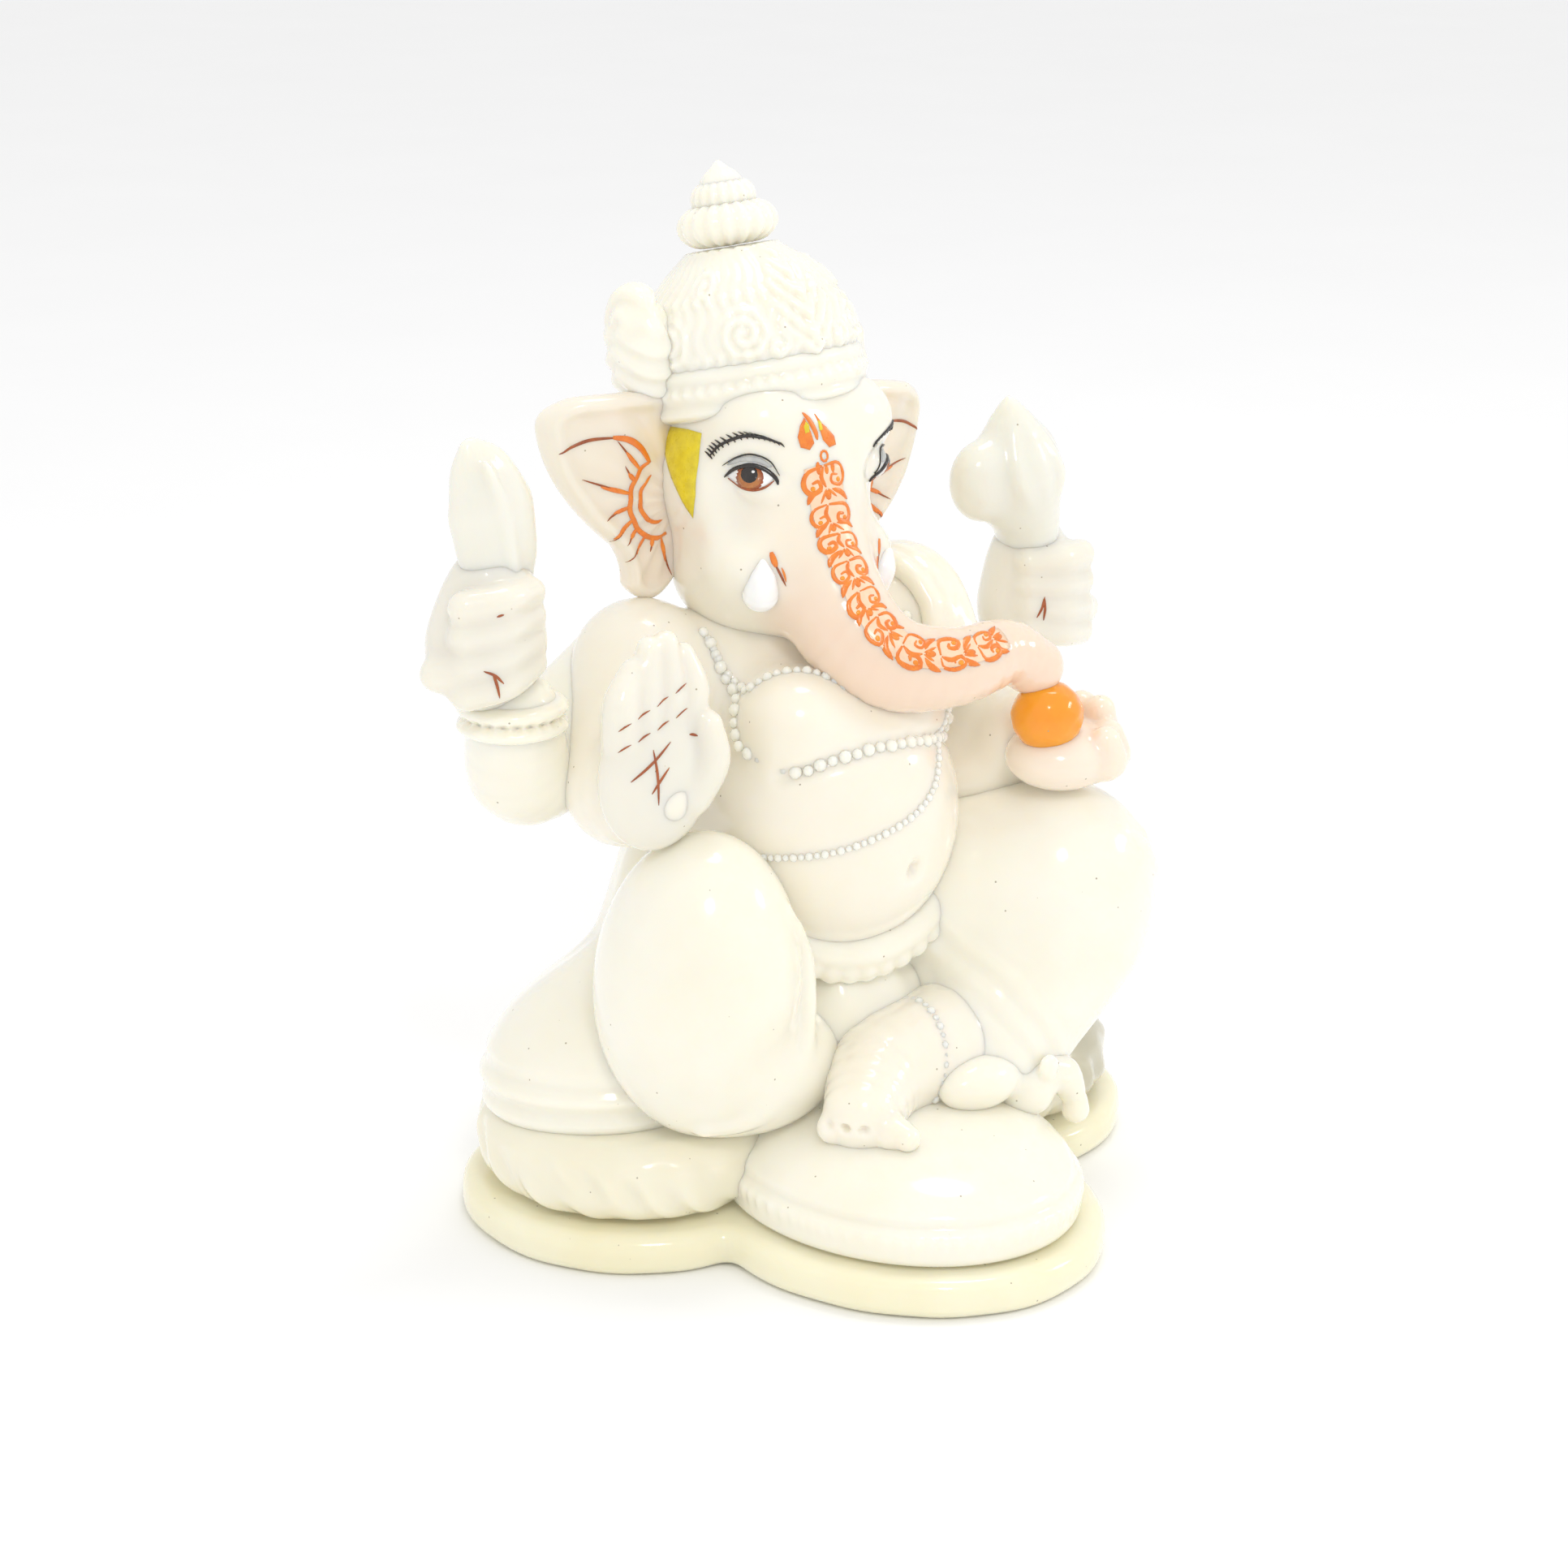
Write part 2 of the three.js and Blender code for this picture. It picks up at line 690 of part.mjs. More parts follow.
const leftThigh = (grow) => [
  limb(
    [
      [10, 5, seatZ + 13],
      [leftKnee[0] - 7, -6, leftKnee[2] - 2],
      leftKnee,
    ],
    [10, kneeRadius - 0.5, kneeRadius],
    grow,
    { across: [0, 0, 1], sides: 11, steps: 3 },
  ),
];

const leftShin = (grow) => [
  limb(
    [
      [leftKnee[0] - 1, leftKnee[1] - 0.5, leftKnee[2] - 6],
      [leftKnee[0] - 6, leftKnee[1] - 0.5, leftKnee[2] - 12],
      [leftAnkle[0] + 6, leftAnkle[1], leftAnkle[2] + 1],
    ],
    [kneeRadius * 0.94, kneeRadius * 0.86, ankleRadius + 2.2],
    grow,
    { across: [0, 1, 0], sides: 11, steps: 3 },
  ),
];

const leftFoot = (grow) => {
  const [x, y, z] = leftAnkle;
  const ballOfFoot = [x - footLength * 1.5, y - footLength * 0.5, z - 2.4];
  const toes = [0, 1, 2, 3, 4].map((k) => {
    const toe = [ballOfFoot[0] - 3.6 + k * 1.2, ballOfFoot[1] + 1.4 - k * 1.9, ballOfFoot[2] - 1.6];
    const size = k === 0 ? 1.9 : 1.6;
    return ball(toe, [2.5, size, size], grow, [0, 0, 30], 7);
  });
  return [
    limb(
      [[x + 1, y, z], [x - footLength * 0.8, y - 1.2, z - 0.2], ballOfFoot],
      [ankleRadius, ankleRadius * 0.88, ankleRadius * 0.66],
      grow,
      { across: [0, 0, 1], sides: 10, steps: 3, flat: 0.8 },
    ),
    ...toes,
  ];
};

// ---------------------------------------------------------------- the mouse at the feet

const mouseNose = [footLobeCentre[0] + footLobe - 4.6, footLobeCentre[1] - 6.5, seatZ + 1.6];

const mouseBody = (grow) => [
  limb(
    [
      [mouseNose[0] - mouseLength, mouseNose[1] + 3, mouseNose[2] + 2.4],
      [mouseNose[0] - mouseLength * 0.45, mouseNose[1] + 2, mouseNose[2] + 1.6],
    ],
    [mouseRadius, mouseRadius + 0.5],
    grow,
    { across: [0, 0, 1], steps: 2 },
  ),
];

const mouseHead = (grow) => {
  const [x, y, z] = mouseNose;
  return [
    limb(
      [
        [x - 2.6, y + 1.4, z + 1.2],
        [x + 1.6, y + 0.4, z + 0.6],
        [x + 4.6, y, z - 4],
      ],
      [3, 2.6, 1.7],
      grow,
      { across: [0, 1, 0], sides: 8, steps: 3 },
    ),
    ...[-1, 1].map((side) =>
      ball([x - 3, y + 1 + side * 2.4, z + 2.6], [1.6, 1, 1.8], grow, [0, 0, 0], 8),
    ),
  ];
};

// ---------------------------------------------------------------- the assembly

const finish = (color, roughness) =>
  new THREE.MeshStandardMaterial({ color, roughness, metalness: 0 });
const ivory = () => finish(0xf3ecd9, 0.18);
const cream = () => finish(0xeee3b8, 0.2);
const blush = () => finish(0xf3dcc4, 0.18);
const white = () => finish(0xfbfbf8, 0.2);
const marigold = () => finish(0xf9a40c, 0.25);

const RIGHT = -1;
const LEFT = 1;

// In the order they are put together: each piece is cut clear of every piece before it.
const pieces = [
  ["base_plinth", cream, basePlinth],
  ["seat_cushion", ivory, seatCushion],
  ["foot_pad", ivory, footPad],
  ["torso", ivory, torso],
  ["belly", ivory, belly],
  ["hip_drape", ivory, hipDrape],
  ["head", ivory, head],
  ["trunk", blush, trunk],
  ["ear_right", blush, ear(RIGHT)],
  ["ear_left", blush, ear(LEFT)],
  ["tusk_right", white, tusk(RIGHT)],
  ["tusk_left", white, tusk(LEFT)],
  ["crown_band", ivory, crownBand],
  ["crown_dome", ivory, crownDome],
  ["crown_ring", ivory, crownRing],
  ["crown_bud", ivory, crownBud],
  ["crown_tip", ivory, crownTip],
  ["crown_rosette_right", ivory, rosette(RIGHT)],
  ["crown_rosette_left", ivory, rosette(LEFT)],
  ["right_leg", ivory, rightLeg],
  ["left_thigh", ivory, leftThigh],
  ["left_shin", ivory, leftShin],
  ["left_foot", ivory, leftFoot],
  ["front_arm_right", ivory, rightFrontArm],
  ["blessing_hand", blush, blessingHand],
  ["sweet_laddoo", marigold, laddoo],
  ["bowl_hand", blush, bowlHand],
  ["front_arm_left", ivory, leftFrontArm],
  ["rear_arm_right", ivory, rearArm(RIGHT, rightRearHand)],
  ["rear_cuff_right", ivory, rearCuff(RIGHT, rightRearHand)],
  ["rear_hand_right", blush, rearHand(RIGHT, rightRearHand)],
  ["axe_blade", ivory, axe],
  ["rear_arm_left", ivory, rearArm(LEFT, leftRearHand)],
  ["rear_cuff_left", ivory, rearCuff(LEFT, leftRearHand)],
  ["rear_hand_left", blush, rearHand(LEFT, leftRearHand)],
  ["lotus_bud", ivory, lotus],
  ["belt", ivory, belt],
  ["necklace", ivory, necklace],
  ["shoulder_shawl", ivory, shawl],
  ["mouse_body", ivory, mouseBody],
  ["mouse_head", ivory, mouseHead],
];

const solidFrom = (geometries) =>
  geometries.map(solidOf).reduce((sum, next) => sum.add(next));

const boxesMeet = (a, b) => [0, 1, 2].every((k) => a.min[k] < b.max[k] && b.min[k] < a.max[k]);

// The largest of the bodies that a cut leaves; the rest are slivers past a neighbour.
const mainBody = (solid) =>
  solid.decompose().reduce((best, next) => (next.volume() > best.volume() ? next : best));

const idol = new THREE.Group();
idol.name = "ganesha_idol";
const seated = [];
for (const [name, material, shape] of pieces) {
  let solid = solidFrom(shape(0));
  for (const earlier of seated)
    if (boxesMeet(solid.boundingBox(), earlier.boundingBox())) solid = solid.subtract(earlier);
  const mesh = new THREE.Mesh(geometryOf(mainBody(solid)), material());
  mesh.name = name;
  idol.add(mesh);
  seated.push(solidFrom(shape(joinGap)));
}

const footprint = new THREE.Box3().setFromObject(idol);
const middle = footprint.getCenter(new THREE.Vector3());
idol.position.set(-middle.x, -middle.y, -footprint.min.z);

export default idol;
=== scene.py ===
"""A seated Ganesha idol in glossy cream resin with painted ornament, sculpted over its CAD frame.

Each piece is modelled as a block of signed distances in millimetres ("clay"), which is meshed once
its forms, folds and carving are in. Painted marks are thin films laid on the finished surfaces.
"""

import math

import bpy
import numpy as np
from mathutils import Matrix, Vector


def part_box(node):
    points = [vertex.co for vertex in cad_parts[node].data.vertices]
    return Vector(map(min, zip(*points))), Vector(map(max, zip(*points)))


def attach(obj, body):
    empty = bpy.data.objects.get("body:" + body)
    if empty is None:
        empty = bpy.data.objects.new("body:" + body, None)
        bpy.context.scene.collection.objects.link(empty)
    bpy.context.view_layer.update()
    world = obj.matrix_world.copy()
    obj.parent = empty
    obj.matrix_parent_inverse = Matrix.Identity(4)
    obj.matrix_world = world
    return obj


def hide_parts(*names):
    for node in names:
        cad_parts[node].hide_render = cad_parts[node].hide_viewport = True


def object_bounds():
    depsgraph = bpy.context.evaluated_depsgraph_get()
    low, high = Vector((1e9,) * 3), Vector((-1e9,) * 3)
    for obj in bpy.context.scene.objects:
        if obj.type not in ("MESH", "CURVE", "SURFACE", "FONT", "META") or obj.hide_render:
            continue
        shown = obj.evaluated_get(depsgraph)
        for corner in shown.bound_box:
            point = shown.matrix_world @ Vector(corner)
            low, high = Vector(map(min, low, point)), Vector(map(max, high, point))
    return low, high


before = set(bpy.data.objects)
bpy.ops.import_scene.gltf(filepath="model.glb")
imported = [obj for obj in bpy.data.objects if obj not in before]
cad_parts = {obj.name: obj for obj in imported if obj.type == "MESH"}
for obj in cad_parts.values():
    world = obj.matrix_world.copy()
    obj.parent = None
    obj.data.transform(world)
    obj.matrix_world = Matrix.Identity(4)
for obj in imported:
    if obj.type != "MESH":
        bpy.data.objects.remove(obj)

import openvdb as vdb
from mathutils import Euler, Vector
from mathutils.bvhtree import BVHTree

CAD_LOW, CAD_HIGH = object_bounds()
MM = 0.001
FAR = 50.0  # mm, a distance that stands for "nowhere near"
COARSER = 1.0  # a factor on every voxel size; larger values give coarser voxels

RIGHT, LEFT = -1, 1  # the figure's own sides; its left is +X


def unit(way):
    return way / np.linalg.norm(way)


def running_length(line):
    """How far along a line each of its points is."""
    steps = np.linalg.norm(np.diff(line, axis=0), axis=1)
    return np.concatenate([[0], np.cumsum(steps)])


def read_line(line, along, where):
    """The point on a line, or the value in a table, at one running length."""
    return np.array([np.interp(where, along, line[:, k]) for k in range(3)])


def coordinates(thing):
    """A mesh object's vertices in mm."""
    co = np.empty(len(thing.data.vertices) * 3)
    thing.data.vertices.foreach_get("co", co)
    return co.reshape(-1, 3) / MM


# ---------------------------------------------------------------- places, from the frame


def box(node):
    """The centre and half sizes of a CAD node's box, in mm."""
    low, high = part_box(node)
    return np.array((low + high) / 2) / MM, np.array((high - low) / 2) / MM


def at(node, across=0.0, deep=0.0, up=0.0):
    """A place in a CAD node's box, in mm: -1 is its low face and 1 its high face on each axis."""
    centre, half = box(node)
    return centre + half * np.array((across, deep, up))


def all_at(node, *places):
    """Several places in a CAD node's box, as at() gives them."""
    return [at(node, *place) for place in places]


def extent(*nodes):
    """The lowest and highest corner of several CAD nodes together, in mm."""
    corners = [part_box(node) for node in nodes]
    low = np.min([np.array(c[0]) for c in corners], axis=0) / MM
    high = np.max([np.array(c[1]) for c in corners], axis=0) / MM
    return low, high


def by_spine(x, y, z):
    """A place in mm: across from the torso's middle, behind it, and up from the floor."""
    return at("torso") * (1, 1, 0) + np.array((x, y, z))


def spine_path(*places):
    return [by_spine(*place) for place in places]


# ---------------------------------------------------------------- shapes as signed distances
# A shape is a list of primitives, each (distance function, lowest corner, highest corner).


def turn_matrix(degrees):
    return np.array(Euler([math.radians(v) for v in degrees]).to_matrix())


def ball(centre, radii, turn=(0, 0, 0)):
    """An ellipsoid."""
    centre = np.asarray(centre, float)
    radii = np.asarray(radii, float) * np.ones(3)
    inverse = turn_matrix(turn).T
    reach = np.abs(turn_matrix(turn)) @ radii

    def distance(x, y, z):
        dx, dy, dz = x - centre[0], y - centre[1], z - centre[2]
        u, v, w = (row[0] * dx + row[1] * dy + row[2] * dz for row in inverse)
        near = np.sqrt((u / radii[0]) ** 2 + (v / radii[1]) ** 2 + (w / radii[2]) ** 2)
        slope = np.sqrt(
            (u / radii[0] ** 2) ** 2 + (v / radii[1] ** 2) ** 2 + (w / radii[2] ** 2) ** 2
        )
        return near * (near - 1) / np.maximum(slope, 1e-6)

    return [(distance, centre - reach, centre + reach)]


def bone(start, end, start_radius, end_radius):
    """A straight, tapering, round-ended rod."""
    a, b = np.asarray(start, float), np.asarray(end, float)
    run = b - a
    length2 = max(float(run @ run), 1e-9)
    widest = max(start_radius, end_radius)

    def distance(x, y, z):
        dx, dy, dz = x - a[0], y - a[1], z - a[2]
        t = np.clip((dx * run[0] + dy * run[1] + dz * run[2]) / length2, 0, 1)
        away = np.sqrt((dx - t * run[0]) ** 2 + (dy - t * run[1]) ** 2 + (dz - t * run[2]) ** 2)
        return away - (start_radius + t * (end_radius - start_radius))

    return [(distance, np.minimum(a, b) - widest, np.maximum(a, b) + widest)]


def spline(points, count):
    """count + 1 points along a smooth curve through the given ones."""
    p = np.asarray(points, float)
    p = np.vstack([2 * p[0] - p[1], p, 2 * p[-1] - p[-2]])
    out = []
    for share in np.linspace(0, len(points) - 1, count + 1):
        i = min(int(share), len(points) - 2)
        t = share - i
        a, b, c, d = p[i : i + 4]
        out.append(
            0.5 * (2 * b + (c - a) * t + (2 * a - 5 * b + 4 * c - d) * t**2)
            + 0.5 * (3 * b - a - 3 * c + d) * t**3
        )
    return np.array(out)


def limb(points, radii, count=10):
    """A round limb along a smooth curve, its radius read between its stations."""
    line = spline(points, count)
    sizes = np.interp(np.linspace(0, 1, count + 1), np.linspace(0, 1, len(radii)), radii)
    return [
        part
        for i in range(count)
        for part in bone(line[i], line[i + 1], sizes[i], sizes[i + 1])
    ]


def flattened(shape, middle, factor):
    """The shape made thinner along Y about the plane y = middle."""

    def thinner(distance):
        return lambda x, y, z: distance(x, middle + (y - middle) * factor, z) / factor**0.5

    out = []
    for distance, low, high in shape:
        low, high = low.copy(), high.copy()
        low[1] = middle + (low[1] - middle) / factor
        high[1] = middle + (high[1] - middle) / factor
        out.append((thinner(distance), low, high))
    return out


def outline_distance(outline, step=0.2, margin=4.0):
    """A function of two coordinates: the signed distance to a closed outline, read from a table."""
    line = np.asarray(outline, float)
    low, high = line.min(0) - margin, line.max(0) + margin
    axes = [np.arange(low[k], high[k] + step, step) for k in range(2)]
    u, v = np.meshgrid(*axes, indexing="ij")
    nearest = np.full(u.shape, FAR)
    inside = np.zeros(u.shape, bool)
    for a, b in zip(line, np.roll(line, -1, axis=0)):
        run = b - a
        t = np.clip(((u - a[0]) * run[0] + (v - a[1]) * run[1]) / max(run @ run, 1e-9), 0, 1)
        nearest = np.minimum(nearest, np.hypot(u - a[0] - t * run[0], v - a[1] - t * run[1]))
        crosses = (a[1] > v) != (b[1] > v)
        rise = b[1] - a[1] if b[1] != a[1] else 1e-9
        inside ^= crosses & (u < a[0] + (v - a[1]) * run[0] / rise)
    table = np.where(inside, -nearest, nearest).astype(np.float32)

    def distance(p, q):
        i = np.clip((p - low[0]) / step, 0, table.shape[0] - 1.001)
        j = np.clip((q - low[1]) / step, 0, table.shape[1] - 1.001)
        i0, j0 = i.astype(int), j.astype(int)
        fi, fj = i - i0, j - j0
        here = table[i0, j0] * (1 - fi) + table[i0 + 1, j0] * fi
        there = table[i0, j0 + 1] * (1 - fi) + table[i0 + 1, j0 + 1] * fi
        return here * (1 - fj) + there * fj

    return distance


def rounded(flat, upright, round_by):
    """The two distances of an extrusion joined with a rounded edge."""
    a, b = flat + round_by, upright + round_by
    outside = np.hypot(np.maximum(a, 0), np.maximum(b, 0))
    return outside + np.minimum(np.maximum(a, b), 0) - round_by


def smooth_min(a, b, blend):
    if blend <= 0:
        return np.minimum(a, b)
    share = np.maximum(blend - np.abs(a - b), 0) / blend
    return np.minimum(a, b) - share * share * blend / 4


class Clay:
    """A block of signed distances, in mm, that shapes are added to and cut from."""

    def __init__(self, low, high, voxel):
        self.voxel = voxel * COARSER
        self.span = low, high
        self.low = np.asarray(low, float) - 3 * self.voxel
        count = np.ceil((np.asarray(high) - self.low) / self.voxel).astype(int) + 4
        self.axes = [self.low[k] + self.voxel * np.arange(count[k]) for k in range(3)]
        self.field = np.full(count, FAR, np.float32)

    def window(self, low, high):
        """The part of the block in a box: its slices, and its coordinates as thin arrays."""
        spans = tuple(
            slice(max(np.searchsorted(axis, a) - 1, 0), max(np.searchsorted(axis, b), 1) + 1)
            for axis, a, b in zip(self.axes, low, high)
        )
        thin = np.meshgrid(
            *(axis[s].astype(np.float32) for axis, s in zip(self.axes, spans)),
            indexing="ij",
            sparse=True,
        )
        return spans, thin

    def union(self, shape, margin):
        """The distance to a shape, with the slices that it fills."""
        low = np.min([p[1] for p in shape], axis=0) - margin
        high = np.max([p[2] for p in shape], axis=0) + margin
        spans, _ = self.window(low, high)
        near = np.full([s.stop - s.start for s in spans], FAR, np.float32)
        near = near[tuple(slice(0, n) for n in self.field[spans].shape)]
        for distance, a, b in shape:
            own, thin = self.window(a - margin, b + margin)
            inner = tuple(slice(o.start - s.start, o.stop - s.start) for o, s in zip(own, spans))
            value = distance(*thin)
            near[inner] = np.minimum(near[inner], value)
        return spans, near

    def add(self, shape, blend=0.6):
        spans, near = self.union(shape, blend + 1.5)
        self.field[spans] = smooth_min(self.field[spans], near, blend)
        return self

    def cut(self, shape, blend=0.6):
        spans, near = self.union(shape, blend + 1.5)
        self.field[spans] = -smooth_min(-self.field[spans], near, blend)
        return self

    def carve(self, height, *span):
        """Raises the surface by height(x, y, z) mm in a box; negative values cut into it."""
        spans, thin = self.window(*(span or self.span))
        self.field[spans] -= height(*thin).astype(np.float32)
        return self

    def soften(self, passes=1):
        for _ in range(passes):
            for k in range(3):
                f = np.moveaxis(self.field, k, 0)
                f[1:-1] = 0.25 * f[:-2] + 0.5 * f[1:-1] + 0.25 * f[2:]
        return self

    def mesh(self, name):
        """The surface as a Blender object in metres."""
        grid = vdb.FloatGrid()
        limit = 4 * self.voxel
        self.field[0], self.field[-1] = limit, limit
        self.field[:, 0], self.field[:, -1] = limit, limit
        self.field[:, :, 0], self.field[:, :, -1] = limit, limit
        grid.copyFromArray(np.clip(self.field, -limit, limit))
        points, triangles, quads = grid.convertToPolygons(isovalue=0.0, adaptivity=0.0)
        points = (points * self.voxel + self.low) * MM
        faces = [*quads.tolist(), *triangles.tolist()]
        return mesh_object(name, points, faces)


def mesh_object(name, points, faces):
    mesh = bpy.data.meshes.new(name)
    mesh.from_pydata([tuple(p) for p in points], [], faces)
    mesh.polygons.foreach_set("use_smooth", [True] * len(mesh.polygons))
    mesh.update()
    thing = bpy.data.objects.new(name, mesh)
    bpy.context.scene.collection.objects.link(thing)
    return thing


def settle(thing, material, slot, *nodes):
    """Gives a finished piece its material and body, and hides the CAD nodes that it stands for; slot is
    not used.
    """
    thing.data.materials.clear()
    thing.data.materials.append(material)
    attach(thing, "root")
    if nodes:
        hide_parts(*nodes)
    return thing


def tint(thing, weight):
    """Stores each vertex's share of the second colour: a number, or weight(x, y, z) in mm."""
    x, y, z = coordinates(thing).T
    share = weight(x, y, z) if callable(weight) else weight
    values = np.clip(share * np.ones_like(x), 0, 1).astype(np.float32)
    thing.data.attributes.new("tint", "FLOAT", "POINT").data.foreach_set("value", values)
    return thing


def block(voxel, margin, *nodes):
    """Empty clay round the boxes of CAD nodes, with a margin in mm."""
    low, high = extent(*nodes)
    return Clay(low - margin, high + margin, voxel)


def cast(clay, material, slot, *nodes, name=None, weight=None, passes=1):
    """Makes the clay a finished piece, named after its node unless name says otherwise."""
    thing = clay.soften(passes).mesh(name or nodes[0])
    if weight is not None:
        tint(thing, weight)
    return settle(thing, material, slot, *nodes)


# ---------------------------------------------------------------- materials


def new_material(name):
    material = bpy.data.materials.new(name)
    material.use_nodes = True
    tree = material.node_tree
    return material, tree, tree.nodes["Principled BSDF"]


def add_node(tree, kind, **values):
    node = tree.nodes.new(kind)
    for key, value in values.items():
        if key in node.inputs:
            node.inputs[key].default_value = value
        else:
            setattr(node, key, value)
    return node


def noise(tree, size, detail=3.0, roughness=0.55):
    """Noise in object space whose features are about size mm."""
    place = add_node(tree, "ShaderNodeTexCoord")
    node = add_node(tree, "ShaderNodeTexNoise", Scale=1000 / size, Detail=detail)
    node.inputs["Roughness"].default_value = roughness
    tree.links.new(place.outputs["Object"], node.inputs["Vector"])
    return node


def remap(tree, value, low, high, to_low=0.0, to_high=1.0):
    node = add_node(tree, "ShaderNodeMapRange")
    for key, number in (
        ("From Min", low),
        ("From Max", high),
        ("To Min", to_low),
        ("To Max", to_high),
    ):
        node.inputs[key].default_value = number
    tree.links.new(value, node.inputs["Value"])
    return node.outputs["Result"]


def mix(tree, share, a, b, kind="MIX"):
    node = add_node(tree, "ShaderNodeMix", data_type="RGBA", blend_type=kind)
    for socket, value in ((node.inputs[0], share), (node.inputs[6], a), (node.inputs[7], b)):
        if isinstance(value, bpy.types.NodeSocket):
            tree.links.new(value, socket)
        else:
            socket.default_value = value
    return node.outputs[2]


def colour(red, green, blue):
    return (red, green, blue, 1.0)


def resin(name, light, dark, second=None, glow=0.06, rough=0.13, scatter=1.5, specks=True):
    """Glossy cast resin: cloudy colour, light that soaks in, tiny dark specks, slow surface ripple, and a
    faint glow that is painted light.
    """
    material, tree, shader = new_material(name)
    cloud = remap(tree, noise(tree, 14.0).outputs["Fac"], 0.3, 0.7)
    base = mix(tree, cloud, light, dark)
    if second:
        weight = add_node(tree, "ShaderNodeAttribute", attribute_name="tint")
        base = mix(tree, weight.outputs["Fac"], base, second)
    if specks:
        place = add_node(tree, "ShaderNodeTexCoord")
        cells = add_node(tree, "ShaderNodeTexVoronoi", Scale=1000 / 2.6)
        tree.links.new(place.outputs["Object"], cells.inputs["Vector"])
        dot = remap(tree, cells.outputs["Distance"], 0.055, 0.035)
        base = mix(tree, dot, base, colour(0.42, 0.36, 0.26))
    tree.links.new(base, shader.inputs["Base Color"])
    for key, value in {
        "Subsurface Weight": 0.85,
        "Subsurface Radius": (1.0, 0.85, 0.62),
        "Subsurface Scale": scatter * MM,
        "IOR": 1.5,
        "Coat Weight": 0.5,
        "Coat Roughness": 0.04,
        # The emission is painted light: a faint glow in the resin's light colour that lifts its shaded
        # sides.
        "Emission Strength": glow,
        "Emission Color": light,
    }.items():
        shader.inputs[key].default_value = value
    shine = remap(tree, noise(tree, 3.5).outputs["Fac"], 0.25, 0.8, rough * 0.7, rough * 1.7)
    tree.links.new(shine, shader.inputs["Roughness"])
    ripple = noise(tree, 4.5, detail=2.0)
    bump = add_node(tree, "ShaderNodeBump", Strength=0.35, Distance=0.16 * MM)
    tree.links.new(ripple.outputs["Fac"], bump.inputs["Height"])
    grain = noise(tree, 0.7, detail=2.0)
    fine = add_node(tree, "ShaderNodeBump", Strength=0.25, Distance=0.03 * MM)
    tree.links.new(grain.outputs["Fac"], fine.inputs["Height"])
    tree.links.new(bump.outputs["Normal"], fine.inputs["Normal"])
    tree.links.new(fine.outputs["Normal"], shader.inputs["Normal"])
    return material


def enamel(name, light, dark, rough=0.3):
    """Brushed-on paint: streaky colour and a low gloss."""
    material, tree, shader = new_material(name)
    streak = remap(tree, noise(tree, 1.1).outputs["Fac"], 0.3, 0.7)
    tree.links.new(mix(tree, streak, light, dark), shader.inputs["Base Color"])
    uneven = remap(tree, noise(tree, 0.5).outputs["Fac"], 0.3, 0.8, rough * 0.8, rough * 1.4)
    tree.links.new(uneven, shader.inputs["Roughness"])
    bump = add_node(tree, "ShaderNodeBump", Strength=0.3, Distance=0.04 * MM)
    tree.links.new(noise(tree, 0.6).outputs["Fac"], bump.inputs["Height"])
    tree.links.new(bump.outputs["Normal"], shader.inputs["Normal"])
    shader.inputs["Coat Weight"].default_value = 0.3
    return material


BLUSH = colour(0.84, 0.62, 0.47)
IVORY = resin(
    "ivory_resin", colour(0.895, 0.87, 0.78), colour(0.87, 0.835, 0.71), second=BLUSH
)
# Painted shade: a greyer copy of the ivory resin for the thin parts, which look greyer as light passes
# through them.
SHADED_THIN_RESIN = resin(
    "thin_resin_painted_shade", colour(0.80, 0.80, 0.73), colour(0.78, 0.78, 0.69), second=BLUSH, scatter=2.4
)
CUSHION_RESIN_WITH_PAINTED_SHADE = resin(
    "cushion_resin",
    colour(0.86, 0.83, 0.70),
    colour(0.835, 0.79, 0.63),
    # The second colour is painted shade: dark olive for the far end of the cushion's left lobe, where
    # shadow shows through the thin casting.
    second=colour(0.40, 0.37, 0.25),
)
CREAM = resin("cream_resin", colour(0.88, 0.845, 0.66), colour(0.85, 0.80, 0.57), glow=0.04)
WHITE = resin(
    "white_resin", colour(0.93, 0.93, 0.93), colour(0.90, 0.90, 0.89), specks=False, scatter=0.8
)
SWEET = resin(
    "marigold_glaze", colour(0.90, 0.38, 0.006), colour(0.88, 0.27, 0.004), glow=0.05, scatter=1.0
)
ORANGE = enamel("orange_paint", colour(0.88, 0.26, 0.025), colour(0.80, 0.18, 0.02))
AMBER = enamel("amber_paint", colour(0.92, 0.36, 0.015), colour(0.84, 0.24, 0.012))
YELLOW = enamel("yellow_paint", colour(0.86, 0.70, 0.02), colour(0.70, 0.55, 0.012))
RUST = enamel("rust_paint", colour(0.42, 0.10, 0.02), colour(0.28, 0.06, 0.015))
BROWN = enamel("iris_brown", colour(0.52, 0.20, 0.05), colour(0.34, 0.10, 0.03))
PEACH = enamel("peach_wash", colour(0.93, 0.69, 0.49), colour(0.91, 0.62, 0.40))
BLACK = enamel("dark_paint", colour(0.012, 0.010, 0.010), colour(0.03, 0.022, 0.018), rough=0.22)
GREY = enamel("lid_paint", colour(0.46, 0.47, 0.46), colour(0.60, 0.60, 0.57))
EYE_WHITE = enamel("eye_white_paint", colour(0.93, 0.93, 0.92), colour(0.88, 0.88, 0.87), rough=0.15)

# ---------------------------------------------------------------- plinth and cushions


def ellipse_distance(x, y, centre, radii):
    u, v = (x - centre[0]) / radii[0], (y - centre[1]) / radii[1]
    near = np.hypot(u, v)
    slope = np.hypot(u / radii[0], v / radii[1])
    return near * (near - 1) / np.maximum(slope, 1e-6)


